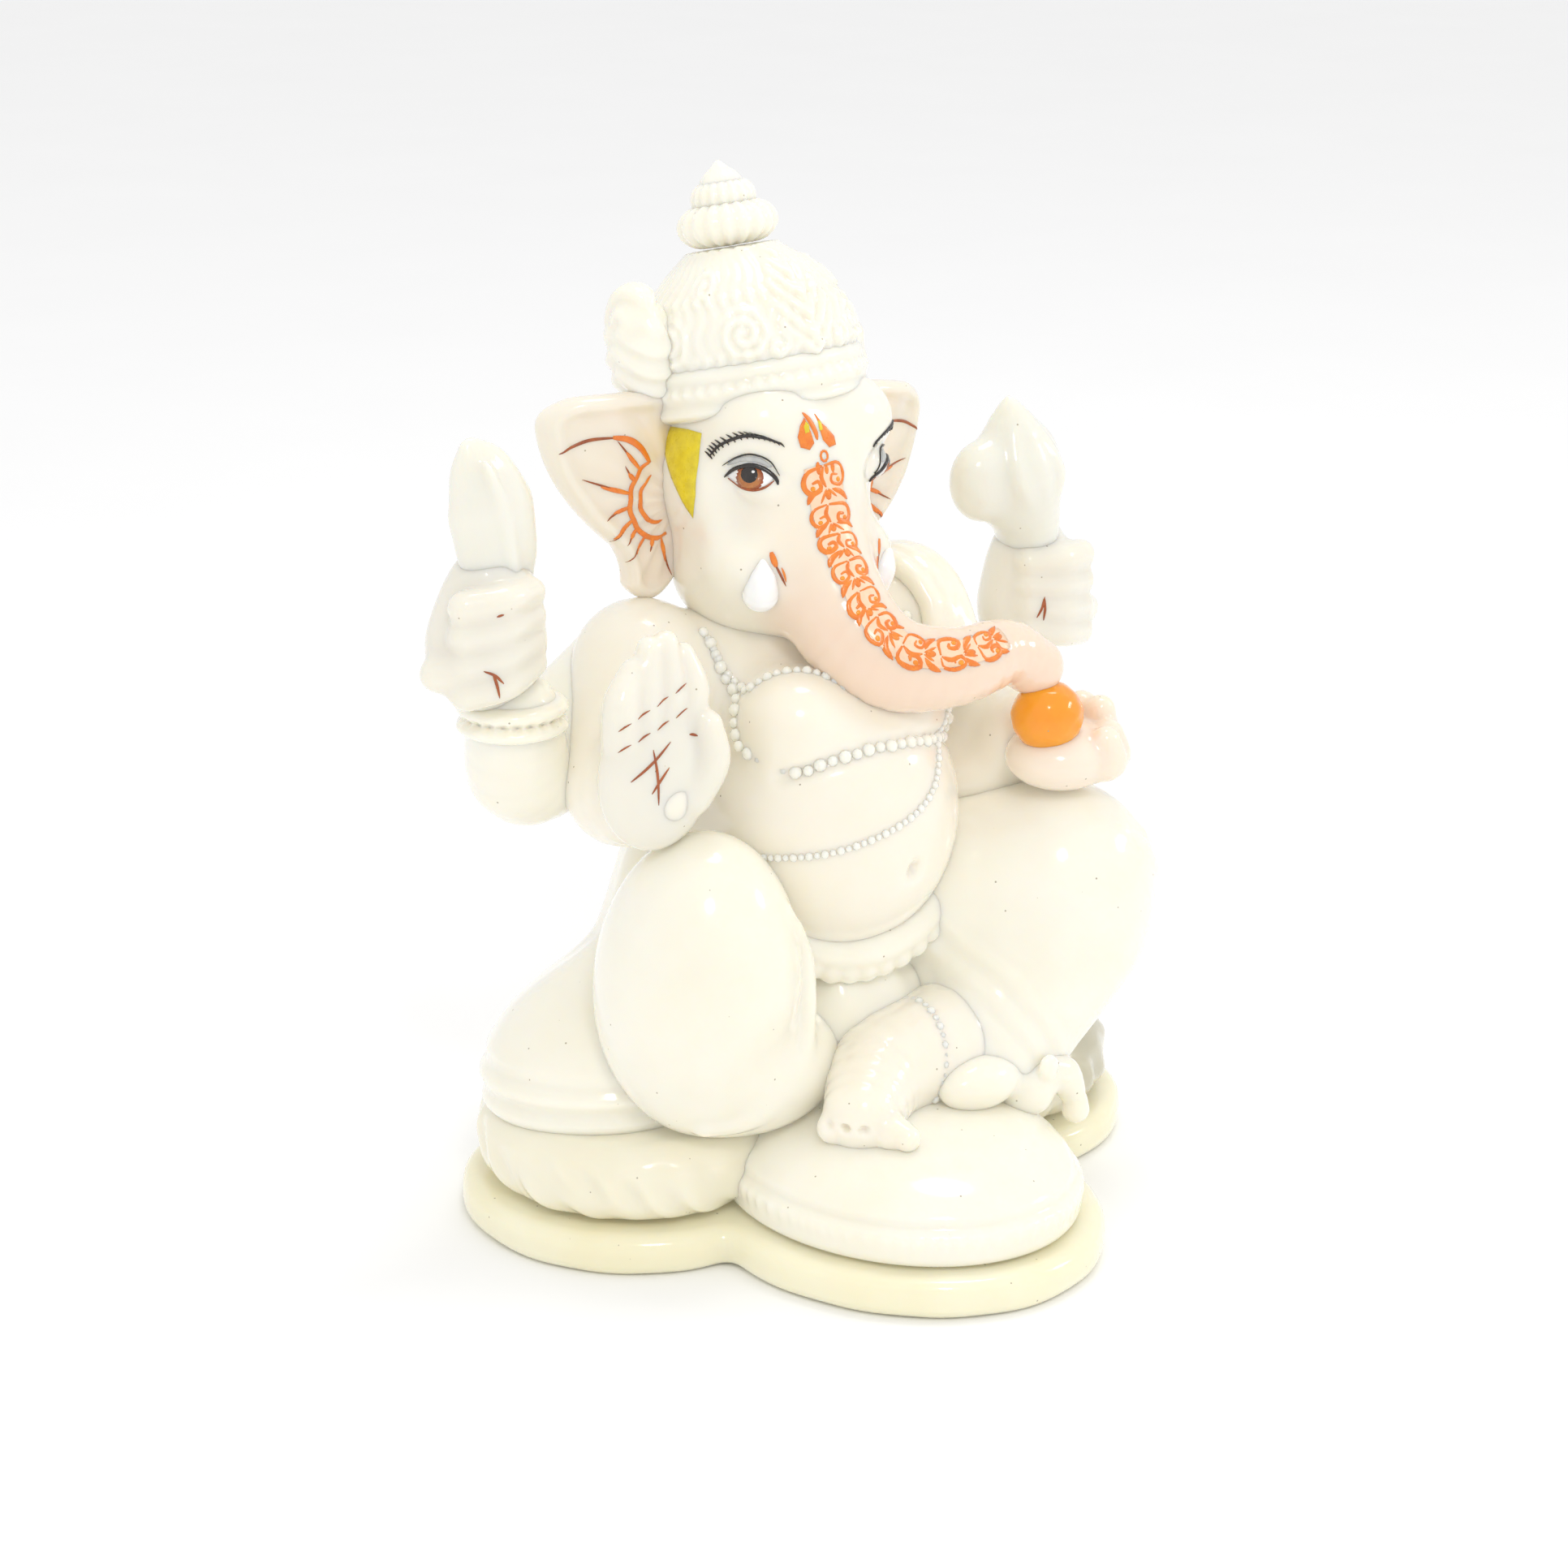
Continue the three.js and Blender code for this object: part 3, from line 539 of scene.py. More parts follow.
PLINTH_HALF = box("base_plinth")[1]
PAD_HALF = box("foot_pad")[1]
CUSHION_HALF = box("seat_cushion")[1]
LIP = PLINTH_HALF[0] - CUSHION_HALF[0]  # how far the plinth stands out past the cushion
SIDE_LOBE = PLINTH_HALF[0] * 0.45
FOOT_LOBE = at("base_plinth", -0.075, -0.28)  # middle of the lobe under the feet
PLEAT_REACH = 30  # mm, the radius at which the cushion's pleats are laid out
FOOT_STRETCH = 4.0  # mm, how much longer than wide that lobe is, each way


def seat_lobes(x, y, inset, blend):
    """Distance in plan to the two side lobes and the back of the seat."""
    lobes = (
        (at("base_plinth", -0.55, 0.404), (SIDE_LOBE, SIDE_LOBE + 1.2)),
        (at("base_plinth", 0.524, 0.28), (SIDE_LOBE + 1.2, SIDE_LOBE + 0.6)),
        (at("base_plinth", -0.018, 0.463), (PLINTH_HALF[0] * 0.8, SIDE_LOBE)),
    )
    near = FAR
    for centre, radii in lobes:
        own = ellipse_distance(x, y, centre, (radii[0] - inset, radii[1] - inset))
        near = smooth_min(near, own, blend)
    return near


def foot_lobe(x, y, inset):
    wide = PAD_HALF[0] + LIP - inset
    return ellipse_distance(x, y, FOOT_LOBE, (wide, wide + FOOT_STRETCH))


def slab(plan, node, round_by, bulge=0.0):
    """A rounded slab over a CAD node's height, its side swelling out by bulge at mid height."""
    centre, half = box(node)

    def distance(x, y, z):
        level = (z - centre[2]) / half[2]
        side = plan(x, y) - bulge * np.clip(1 - level**2, 0, 1)
        return rounded(side, np.abs(z - centre[2]) - half[2], round_by)

    low, high = extent(node)
    return [(distance, low - 1, high + 1)]


def base_plinth():
    clay = block(0.42, 1, "base_plinth")
    plan = lambda x, y: smooth_min(seat_lobes(x, y, 0.3, 3.0), foot_lobe(x, y, 0.3), 2.5)
    clay.add(slab(plan, "base_plinth", 1.4, bulge=0.3))
    wavy = lambda x, y, z: 0.08 * np.sin(x * 0.5) * np.sin(y * 0.42 + 1)
    clay.carve(wavy)
    cast(clay, CREAM, "cream_resin", "base_plinth")


def painted_shade_weight(x, y, z):
    """Painted shade: darkens the far end of the cushion's left lobe, where the casting is thin and shadow
    shows through it.
    """
    return 0.75 * np.clip((x - at("seat_cushion", 0.45)[0]) / 12, 0, 1)


def seat_cushion():
    clay = block(0.38, 1, "seat_cushion")
    plan = lambda x, y: seat_lobes(x, y, LIP, 2.0)
    clay.add(slab(plan, "seat_cushion", 3.2, bulge=0.5))
    middle = at("seat_cushion")

    def pleats(x, y, z):
        around = np.arctan2(y - middle[1], x - middle[0]) * PLEAT_REACH
        swirl = around * 1.75 + 0.55 * (z - middle[2]) + 1.2 * np.sin(around * 0.31)
        fine = np.sin(swirl) * (0.7 + 0.5 * np.sin(around * 0.47 + z))
        side = np.clip(1 - np.abs((z - middle[2] + 1) / 4.4) ** 4, 0, 1)
        outer = np.clip((plan(x, y) + 2.2) / 1.2, 0, 1)
        return 0.34 * fine * side * outer

    clay.carve(pleats)
    # Painted shade: the weight darkens the far end of the left lobe.
    cast(clay, CUSHION_RESIN_WITH_PAINTED_SHADE, "ivory_resin", "seat_cushion", weight=painted_shade_weight)


def foot_pad():
    low, high = extent("foot_pad")
    clay = Clay(low - 1, high + 1, 0.34)
    centre = FOOT_LOBE
    step_z = low[2] + 4.6
    plan = lambda x, y: foot_lobe(x, y, LIP + 0.2)

    def drum(x, y, z):
        return rounded(plan(x, y), np.abs(z - (low[2] + step_z) / 2) - (step_z - low[2]) / 2, 1.2)

    clay.add([(drum, low - 1, high + 1)])
    reach = (PAD_HALF[0] - 0.5, PAD_HALF[0] + FOOT_STRETCH - 0.5)
    clay.add(ball((centre[0], centre[1], step_z - 1), (*reach, high[2] - step_z + 1)), 1.0)

    def rim(x, y, z):
        around = np.arctan2(y - centre[1], x - centre[0])
        side = np.clip((plan(x, y) + 1.6) / 0.8, 0, 1)
        ticks = np.maximum(np.sin(around * 74 + 2.2 * np.sin(around * 9)), 0)
        low_band = np.exp(-(((z - step_z + 1.4) / 0.9) ** 2))
        groove = np.exp(-(((z - step_z - 0.2) / 0.45) ** 2))
        return side * (0.26 * ticks * low_band - 0.5 * groove)

    clay.carve(rim)
    cast(clay, IVORY, "ivory_resin", "foot_pad")


# ---------------------------------------------------------------- body

BELLY = at("belly", 0, 0.45, 0)
BELLY_RADII = np.array([1, 1, 1.12]) * box("belly")[1][0]


def on_ball(centre, radii, around, up, out=0.0):
    """A point on an ellipsoid; around turns from the front towards +X, up is the elevation."""
    a, b = math.radians(around), math.radians(up)
    way = np.array((math.cos(b) * math.sin(a), -math.cos(b) * math.cos(a), math.sin(b)))
    return np.asarray(centre) + way * (np.asarray(radii) + out)


def on_belly(around, up, out=0.0):
    return on_ball(BELLY, BELLY_RADII, around, up, out)


def upper_body():
    """Torso, belly and the two front arms, which flow into each other."""
    nodes = ("torso", "belly", "front_arm_right", "front_arm_left")
    clay = block(0.42, 1.5, *nodes)
    clay.add(ball(at("torso", 0, 0, 0), (17, 12.3, 28.6)))
    clay.add(ball(at("torso", 0, 0, 0.64), (20, 10, 9.6)), 5)
    clay.add(ball(BELLY, BELLY_RADII), 3.5)
    for side in (RIGHT, LEFT):
        clay.add(ball(at("belly", side * 0.46, 0.15, 0.72), (6.6, 6.5, 6)), 4)
    right = spine_path(
        (-17.4, 1, 65.6), (-22.2, -2.2, 58.5), (-25, -5.8, 54.8), (-26.4, -12.5, 56.4)
    )
    clay.add(limb(right, (8.3, 7.8, 7.2, 5.8)), 3)
    left = spine_path(
        (20, 0, 64.5), (24, -4, 58), (26, -7.4, 53), (24.8, -17, 53.8)
    )
    clay.add(limb(left, (8.4, 7.8, 7.4, 5.4)), 3)
    clay.add(ball(by_spine(21.5, -12, 48.8), (6, 7, 5.4)), 3)
    clay.cut(ball(on_belly(4, -14), (0.9, 1.3, 1.3)), 0.8)
    under = [on_belly(a, 38 - 0.0035 * a * a, 0.35) for a in range(-60, 61, 20)]
    clay.cut(limb(under, [0.5] * 3, 18), 1.4)
    return cast(clay, IVORY, "ivory_resin", *nodes, name="upper_body", weight=0.10)


def hip_drape():
    """The cloth bunched round the hips, with its hem in rolls over the cushion."""
    low, high = extent("hip_drape")
    clay = Clay(low - 1, high + 1, 0.42)
    clay.add(ball(by_spine(0, -2, 21.7), (29, 17, 9)))
    clay.add(ball(by_spine(1, -14, 22.6), (11, 9.5, 10.4)), 2)
    right_hip, left_hip = by_spine(-23.2, 1, 17.9), by_spine(23.6, -3, 16.9)
    clay.add(ball(right_hip, (15.3, 14.3, 12), (0, -12, 0)), 4)
    clay.add(ball(left_hip, (16.8, 13.8, 11), (0, 12, 0)), 4)
    waist = spine_path(
        (-22, 2, 19.5), (-15.2, 3, 28.5), (-11, 3, 41.5)
    )
    clay.add(limb(waist, (9.6, 7.6, 6.6)), 4)
    back = spine_path(
        (12.7, 2.5, 26.8), (8.8, 2.5, 34.9), (4.8, 1.6, 41.3)
    )
    clay.add(limb(back, (9, 8.5, 8)), 5)
    middle = at("hip_drape", 0, 0.05)

    def folds(x, y, z):
        around = np.arctan2(y - middle[1], x - middle[0])
        rise = z - low[2]
        hem = np.clip(1 - rise / 8.5, 0, 1)
        rolls = np.sin(rise * 1.9 + 1.1 * np.sin(around * 3 + 0.6)) * np.clip(hem * 2.4, 0, 1)
        gathers = np.sin(around * 17 + 0.12 * rise) * np.clip((rise - 8) / 8, 0, 1)
        return 0.42 * rolls + 0.28 * gathers

    clay.carve(folds)
    flat_floor = lambda x, y, z: low[2] - 0.2 - z
    clay.field = np.maximum(clay.field, flat_floor(*clay.window(low - 9, high + 9)[1]))
    cast(clay, IVORY, "ivory_resin", "hip_drape")


def belt():
    """The scalloped, dotted hem that lies round the underside of the belly."""
    line = [
        on_belly(-70, -44, 0.4),
        on_belly(-35, -58, 0.6),
        on_belly(5, -56, 0.8),
        on_belly(40, -44, 0.8),
        on_belly(66, -24, 0.7),
        on_belly(84, 2, 0.4),
    ]
    path = spline(line, 60)
    clay = Clay(path.min(0) - 4, path.max(0) + 4, 0.26)
    clay.add(limb(line, (1.8, 2.3, 2.4, 2.2, 1.8, 1.4), 30))
    for i in range(0, 61, 4):
        away = unit(path[i] - BELLY)
        down = np.array((0.0, 0.0, -1.0))
        hem = path[i] + down * 1.5 + away * 0.5
        clay.add(ball(hem, 1.75), 0.35)
        clay.add(ball(path[i] + away * 1.7 + np.array((0, 0, 0.6)), 0.75), 0.2)
    cast(clay, IVORY, "ivory_resin", "belt")


def bead_string(name, points, size, slot, *nodes):
    """A string of small balls through the given points, every other one a little smaller."""
    line = spline(points, 240)
    along = running_length(line)
    count = int(along[-1] / (size * 1.85))
    vertices, faces = [], []
    rings, sides = 5, 9
    for i in range(count + 1):
        where = read_line(line, along, i * along[-1] / count)
        radius = size * (1.0 if i % 2 else 0.82)
        first = len(vertices)
        vertices.append(where + (0, 0, radius))
        for r in range(1, rings):
            polar = math.pi * r / rings
            for s in range(sides):
                turn = 2 * math.pi * s / sides
                way = (math.cos(turn) * math.sin(polar), math.sin(turn) * math.sin(polar))
                vertices.append(where + radius * np.array((*way, math.cos(polar))))
        vertices.append(where - (0, 0, radius))
        last = len(vertices) - 1
        for s in range(sides):
            t = (s + 1) % sides
            faces.append((first, first + 1 + s, first + 1 + t))
            faces.append((last, last - sides + t, last - sides + s))
            for r in range(rings - 2):
                a = first + 1 + r * sides
                faces.append((a + s, a + sides + s, a + sides + t, a + t))
    thing = mesh_object(name, np.array(vertices) * MM, faces)
    return settle(thing, IVORY, slot, *nodes)


class Skin:
    """The surface of a finished piece, to lay things on."""

    def __init__(self, thing):
        faces = [tuple(p.vertices) for p in thing.data.polygons]
        self.tree = BVHTree.FromPolygons(coordinates(thing).tolist(), faces)

    def drop(self, start, way):
        """Where a ray from start meets the skin, and the normal there, or None."""
        place, normal, _, _ = self.tree.ray_cast(Vector(start), Vector(way))
        return None if place is None else (np.array(place), np.array(normal))

    def nearest(self, point):
        place, normal, _, _ = self.tree.find_nearest(Vector(point))
        return np.array(place), np.array(normal)


def laid_on(skin, points, out):
    """The points moved onto a skin, proud of it by out."""
    return [place + normal * out for place, normal in map(skin.nearest, points)]


def on_skin(skin, points, out):
    """A smooth line through the points, laid on a skin."""
    return laid_on(skin, spline(points, 40), out)


def necklaces(skin):
    """The bead strings over the chest, and the thread that crosses it from the left shoulder."""
    neck_right = at("necklace", -0.6, 1.2, 1.0)
    for name, drop, size in (("necklace_inner", 0.0, 0.62), ("necklace_outer", 5.5, 0.8)):
        points = [
            neck_right + (0, 1, 1.5),
            at("necklace", 0.1, 0, -0.3 - drop / 9),
            at("belly", 0.05, -0.2, 0.74 - drop / 14),
            at("belly", 0.62, 0, 0.86 - drop / 22),
            at("belly", 1.0, 0.8, 1.15),
        ]
        nodes = ("necklace",) if drop else ()
        bead_string(name, on_skin(skin, points, 0.1), size, "ivory_resin", *nodes)
    thread = [
        at("belly", 0.9, 0.9, 1.1),
        on_belly(34, 30),
        on_belly(8, 12),
        on_belly(-30, 0),
        on_belly(-70, -6),
    ]
    bead_string("sacred_thread", on_skin(skin, thread, 0.05), 0.5, "ivory_resin")


def shoulder_shawl(skin):
    """The folded cloth over the left shoulder and down the back."""
    clay = block(0.4, 2, "shoulder_shawl", "torso")
    line = [
        at("shoulder_shawl", 0.55, -0.9, 0.2),
        at("shoulder_shawl", 0.55, -0.45, 0.78),
        at("shoulder_shawl", 0.3, 0.35, 0.68),
        at("shoulder_shawl", -0.35, 0.62, 0.0),
        at("shoulder_shawl", -0.9, 0.5, -0.9),
        at("torso", -0.5, 0.55, -0.45),
    ]
    path = np.array([skin.nearest(point)[0] for point in spline(line, 24)])
    for shift in (-1.6, -0.55, 0.55, 1.6):
        strand = path + np.array((shift * 1.7, 0, shift * 1.0))
        clay.add(limb(laid_on(skin, strand, 0.7), (1.3, 1.5, 1.5, 1.5, 1.3), 30), 0.7)
    cast(clay, IVORY, "ivory_resin", "shoulder_shawl")


# ---------------------------------------------------------------- head

HEAD_TILT = 5.0  # degrees, towards the figure's left
HEAD = at("head", 0, 0, 0.137)
HEAD_RADII = np.array((13.4, 12.5, 14.0))
TILT = turn_matrix((0, HEAD_TILT, 0))


def on_head(x, y, z):
    """A place by the head's own upright frame, in mm from its centre."""
    return HEAD + TILT @ np.array((x, y, z))


TRUNK_LINE = [
    HEAD + np.array(place)
    for place in (
        (-1.8, -5.9, 1.0),
        (-1.2, -9.5, -8.5),
        (0.0, -15.1, -16.2),
        (3.0, -20.0, -20.0),
        (9.4, -23.0, -20.8),
        (17.0, -23.1, -20.4),
        (21.4, -23.5, -22.8),
    )
]
TRUNK_RADII = (6.4, 6.7, 6.2, 5.5, 4.6, 3.9, 3.5)
LID_ARC = ((20, 5), (31, 11), (42, 11), (51, 5))  # degrees around and up on the head's ball


def head():
    """The elephant head and the trunk that grows from it."""
    nodes = ("head", "trunk")
    clay = block(0.33, 1.5, *nodes)
    clay.add(ball(HEAD, HEAD_RADII, (0, HEAD_TILT, 0)))
    clay.add(ball(on_head(0, -1, -11.9), (11.2, 10.9, 8.1)), 4)
    for side in (RIGHT, LEFT):
        clay.add(ball(on_head(side * 5.4, -6.2, 6.6), (6.2, 5.2, 5.0)), 4)
        clay.add(ball(on_head(side * 7.6, -7.2, -8.6), (4.8, 4.6, 5.2)), 4)
        clay.cut(ball(on_head(side * 12.2, -9.8, -1.5), (3.4, 3.2, 4.0)), 3.5)
        eye = on_ball(HEAD, HEAD_RADII, side * 37, 4)
        clay.cut(ball(eye + (side * 1.6, -2.2, 0), (3.6, 3.0, 3.0)), 2.2)
        clay.add(ball(eye + (-side * 0.6, 1.2, 0), (3.1, 2.5, 2.0)), 0.9)
        lid = [on_ball(HEAD, HEAD_RADII, side * a, 4 + h, 0.1) for a, h in LID_ARC]
        clay.add(limb(lid, (0.3, 0.5, 0.5, 0.3), 8), 0.7)
    clay.add(limb(TRUNK_LINE, TRUNK_RADII, 30), 3.2)
    path = spline(TRUNK_LINE, 60)
    for i in range(18, 60, 3):
        ring_radius = np.interp(i / 60, np.linspace(0, 1, len(TRUNK_RADII)), TRUNK_RADII)
        clay.carve(*wrinkle(path[i], path[i + 1], ring_radius))
    tip_way = unit(path[-1] - path[-3])
    clay.cut(ball(path[-1] + tip_way * 3.4 + (0.3, -1.6, 0), (1.0, 0.8, 0.8)), 0.7)

    def warmth(x, y, z):
        lengths = [np.sqrt((x - p[0]) ** 2 + (y - p[1]) ** 2 + (z - p[2]) ** 2) for p in path[::4]]
        near = np.min(lengths, axis=0)
        down = np.clip((HEAD[2] + 2 - z) / 16, 0, 1)
        return 0.06 + 0.72 * down * np.clip((9.5 - near) / 3.5, 0, 1)

    return cast(clay, IVORY, "blush_resin", *nodes, weight=warmth)


def wrinkle(place, ahead, radius):
    """A faint ring cut round the trunk, as a carve call's height and box."""
    way = unit(ahead - place)
    reach = radius + 2

    def depth(x, y, z):
        along = (x - place[0]) * way[0] + (y - place[1]) * way[1] + (z - place[2]) * way[2]
        away = np.sqrt((x - place[0]) ** 2 + (y - place[1]) ** 2 + (z - place[2]) ** 2)
        return -0.10 * np.exp(-((along / 0.45) ** 2)) * np.clip(reach - away, 0, 1)

    return depth, place - reach, place + reach


def quadratic(a, b, c, count=10):
    t = np.linspace(0, 1, count, endpoint=False)[:, None]
    return (1 - t) ** 2 * np.array(a) + 2 * t * (1 - t) * np.array(b) + t**2 * np.array(c)


def ear_outline(side):
    """The ear's edge, in mm across and up from the head's centre; it ends in a point by the cheek."""
    root = HEAD_RADII[0] - 5
    reach = abs(at("ear_right" if side == RIGHT else "ear_left", side)[0]) + side * 0.9
    points = np.vstack(
        [
            quadratic((root, 8.6), (root + 8, 9.6), (reach - 3.4, 8.4)),
            quadratic((reach - 3.4, 8.4), (reach + 0.6, 7.0), (reach, 4.2)),
            quadratic((reach, 4.2), (reach - 1.2, -3.4), (root + 10.8, -8.9)),
            quadratic((root + 10.8, -8.9), (root + 9.0, -11.2), (root + 9.0, -13.6)),
            quadratic((root + 9.0, -13.6), (root + 5.0, -18), (root, -12)),
        ]
    )
    return points * (side, 1)


def ear(side, node):
    low, high = extent(node)
    clay = Clay(low - (4, 3.5, 3), high + (4, 3.5, 3), 0.27)
    flat = outline_distance(ear_outline(side))
    middle = at(node)[1]
    root = HEAD_RADII[0] - 5

    def distance(x, y, z):
        u = TILT[0, 0] * (x - HEAD[0]) + TILT[2, 0] * (z - HEAD[2])
        w = TILT[0, 2] * (x - HEAD[0]) + TILT[2, 2] * (z - HEAD[2])
        edge = flat(u, w)
        out = side * u - root
        cup = 0.055 * (out - 9) ** 2 * 0.55 - 1.2
        rim = 0.75 * np.exp(-(((edge + 1.0) / 0.9) ** 2))
        ribs = 0.16 * np.sin(np.arctan2(w + 4, out - 1.5) * 19) * np.clip(-edge / 3, 0, 1)
        thick = 0.95 + rim + ribs
        return rounded(edge, np.abs(y - middle - cup) - thick, 0.7)

    clay.add([(distance, low - (3, 3, 2), high + (3, 3, 2))])
    fading = lambda x, y, z: 0.56 - 0.013 * np.abs(x - HEAD[0])
    return cast(clay, SHADED_THIN_RESIN, "blush_resin", node, weight=fading)


def tusk(side, node):
    """A short tusk with its tip up, set between the cheek and the trunk."""
    places = ((8.3, -10.7, -12.3), (8.9, -11.7, -10.4), (9.4, -12.1, -8.2))
    line = [on_head(side * x, y, z) for x, y, z in places]
    clay = Clay(np.min(line, 0) - 4, np.max(line, 0) + 4, 0.16)
    clay.add(limb(line, (2.15, 1.5, 0.35), 14))
    cast(clay, WHITE, "white_resin", node)


# ---------------------------------------------------------------- crown

CROWN_FOOT = at("crown_band")
CROWN_UP = unit(at("crown_tip") - CROWN_FOOT)
CROWN_SIDE = -unit(np.cross(CROWN_UP, (0, 1, 0)))
CROWN_FRONT = np.cross(CROWN_SIDE, CROWN_UP)
CROWN_REACH = 13  # mm, the radius at which the carving is laid out


def crown_frame(x, y, z):
    """Radius, height and bearing (0 in front, towards +X) about the crown's leaning axis."""
    dx, dy, dz = x - CROWN_FOOT[0], y - CROWN_FOOT[1], z - CROWN_FOOT[2]
    part = lambda way: dx * way[0] + dy * way[1] + dz * way[2]
    across, forward, height = part(CROWN_SIDE), part(CROWN_FRONT), part(CROWN_UP)
    return np.hypot(across, forward), height, np.arctan2(across, forward)


def crown_piece(node, profile, voxel, relief=None):
    """A turned piece of the crown; profile lists (radius, height above the band's middle)."""
    low, high = extent(node)
    clay = Clay(low - 2, high + 2, voxel)
    side = spline(profile, 40)
    flat = outline_distance(np.vstack([side, side[::-1] * (-1, 1)]))

    def distance(x, y, z):
        radius, height, bearing = crown_frame(x, y, z)
        near = flat(radius, height)
        if relief:
            near = near - relief(radius, height, bearing)
        return near

    clay.add([(distance, low - 2, high + 2)])
    return cast(clay, IVORY, "ivory_resin", node)


def height_of(node, up):
    """Where a node's level sits along the crown's axis, from the band's middle."""
    return float((at(node, 0, 0, up) - CROWN_FOOT) @ CROWN_UP)


def roll(node, radius, half):
    """A flattened roll's profile round the middle of a node."""
    middle = height_of(node, 0)
    angles = np.radians(np.linspace(-90, 90, 9))
    return [
        (radius * max(math.cos(a), 0) ** 0.6, middle + half * math.sin(a)) for a in angles
    ]


def dots(height, bearing, level, pitch, size, rise):
    """A row of small domes round the crown at one level."""
    count = round(2 * math.pi * CROWN_REACH / pitch)
    phase = (bearing * count / (2 * math.pi)) % 1 - 0.5
    off = np.hypot(phase * pitch, height - level)
    return rise * np.sqrt(np.clip(1 - (off / size) ** 2, 0, 1))


def band_relief(radius, height, bearing):
    lines = 0.22 * np.cos(height * 2.9) * np.clip((3.2 - np.abs(height)) / 1, 0, 1)
    return lines + dots(height, bearing, 0.6, 1.7, 0.62, 0.45)


def dome_relief(radius, height, bearing):
    """Carving on the crown: a plume in front, spiral flowers beside it, beads and scrolls."""
    around = bearing * CROWN_REACH
    plume_half = 4.6 * np.sin(np.clip((height - 2.6) / 13.5, 0, 1) * math.pi) ** 0.6
    inside = np.clip((plume_half - np.abs(around)) / 0.8, 0, 1)
    veins = np.cos((height * 1.0 - np.abs(around) * 1.1) * 2.6)
    total = inside * (0.38 + 0.26 * veins) + 0.5 * np.exp(-((around / 0.55) ** 2)) * (inside > 0)
    pairs = ((37, 6.2, 3.5), (80, 6.0, 3.2), (128, 6.4, 3.2), (58, 12.0, 2.4), (20, 4.4, 1.8))
    flowers = [(side * turn, level, size) for turn, level, size in pairs for side in (-1, 1)]
    for bearing_centre, level, size in [*flowers, (180, 6.4, 3.6)]:
        off = (bearing - math.radians(bearing_centre) + math.pi) % (2 * math.pi) - math.pi
        off = off * CROWN_REACH
        reach = np.hypot(off, height - level)
        swirl = np.arctan2(height - level, off)
        coil = np.cos(reach * 2 * math.pi / 1.35 - swirl)
        total = total + np.clip((size - reach) / 0.7, 0, 1) * (0.34 + 0.30 * coil)
    for level, pitch, size, rise in ((3.9, 1.5, 0.55, 0.42), (10.4, 1.9, 0.6, 0.34)):
        total = total + dots(height, bearing, level, pitch, size, rise)
    ribs = 0.12 * np.sin(bearing * 46 + 1.4 * np.sin(height * 1.3))
    return (total + ribs) * np.clip((16.8 - height) / 2, 0, 1)


def crown():
    band_radius = box("crown_band")[1][0] - 0.4
    band = [
        (0, -3.4),
        (band_radius * 0.7, -3.3),
        (band_radius * 0.97, -2.5),
        (band_radius, -0.6),
        (band_radius * 0.985, 1.6),
        (band_radius * 0.93, 3.2),
        (band_radius * 0.6, 3.6),
        (0, 3.6),
    ]
    crown_piece("crown_band", band, 0.3, band_relief)
    dome_radius = box("crown_dome")[1][0] - 0.5
    foot = 2.4
    rise = height_of("crown_ring", -1) + 1.0 - foot
    curve = [(0.99, 0.08), (1.0, 0.2), (0.94, 0.4), (0.82, 0.58), (0.65, 0.74)]
    curve += [(0.46, 0.88), (0.3, 0.97)]
    dome = [(0, foot), (dome_radius * 0.9, foot)]
    dome += [(dome_radius * r, foot + rise * h) for r, h in curve]
    dome.append((0, foot + rise))
    crown_piece("crown_dome", dome, 0.27, dome_relief)
    fluting = lambda r, h, b: 0.16 * np.sin(b * 18) * np.clip(r - 2, 0, 1)
    crown_piece("crown_ring", roll("crown_ring", 5.9, 2.6), 0.22, fluting)
    crown_piece("crown_bud", roll("crown_bud", 3.8, 2.2), 0.2, fluting)
    foot = height_of("crown_tip", -1) - 0.6
    top = height_of("crown_tip", 1) - 0.1
    tip = [(0, foot), (2.5, foot + 0.1), (3.0, foot + 0.9), (2.1, foot + 2.5), (0.9, top - 0.9), (0, top)]
    crown_piece("crown_tip", tip, 0.18)


def rosette(side, node):
    """The feathered side ornament of the crown, above the ear."""
    clay = block(0.25, 1.5, node)
    centre, half = box(node)
    clay.add(ball(centre, (half[0] + 0.3, half[1], half[2]), (0, side * 6, 0)))

    def feathers(x, y, z):
        rise, forward = (z - centre[2]) / half[2], (y - centre[1]) / half[1]
        curl = np.hypot(forward * 0.8, (rise - 0.45) * 1.6)
        swirl = np.cos(curl * 11 - np.arctan2(rise - 0.45, forward))
        barbs = np.cos(rise * 17 + np.abs(forward) * 6)
        top = np.clip(rise * 2.2 - 0.1, 0, 1)
        return 0.30 * swirl * top + 0.24 * barbs * (1 - top)

    clay.carve(feathers)
    cast(clay, IVORY, "ivory_resin", node)


# ---------------------------------------------------------------- legs


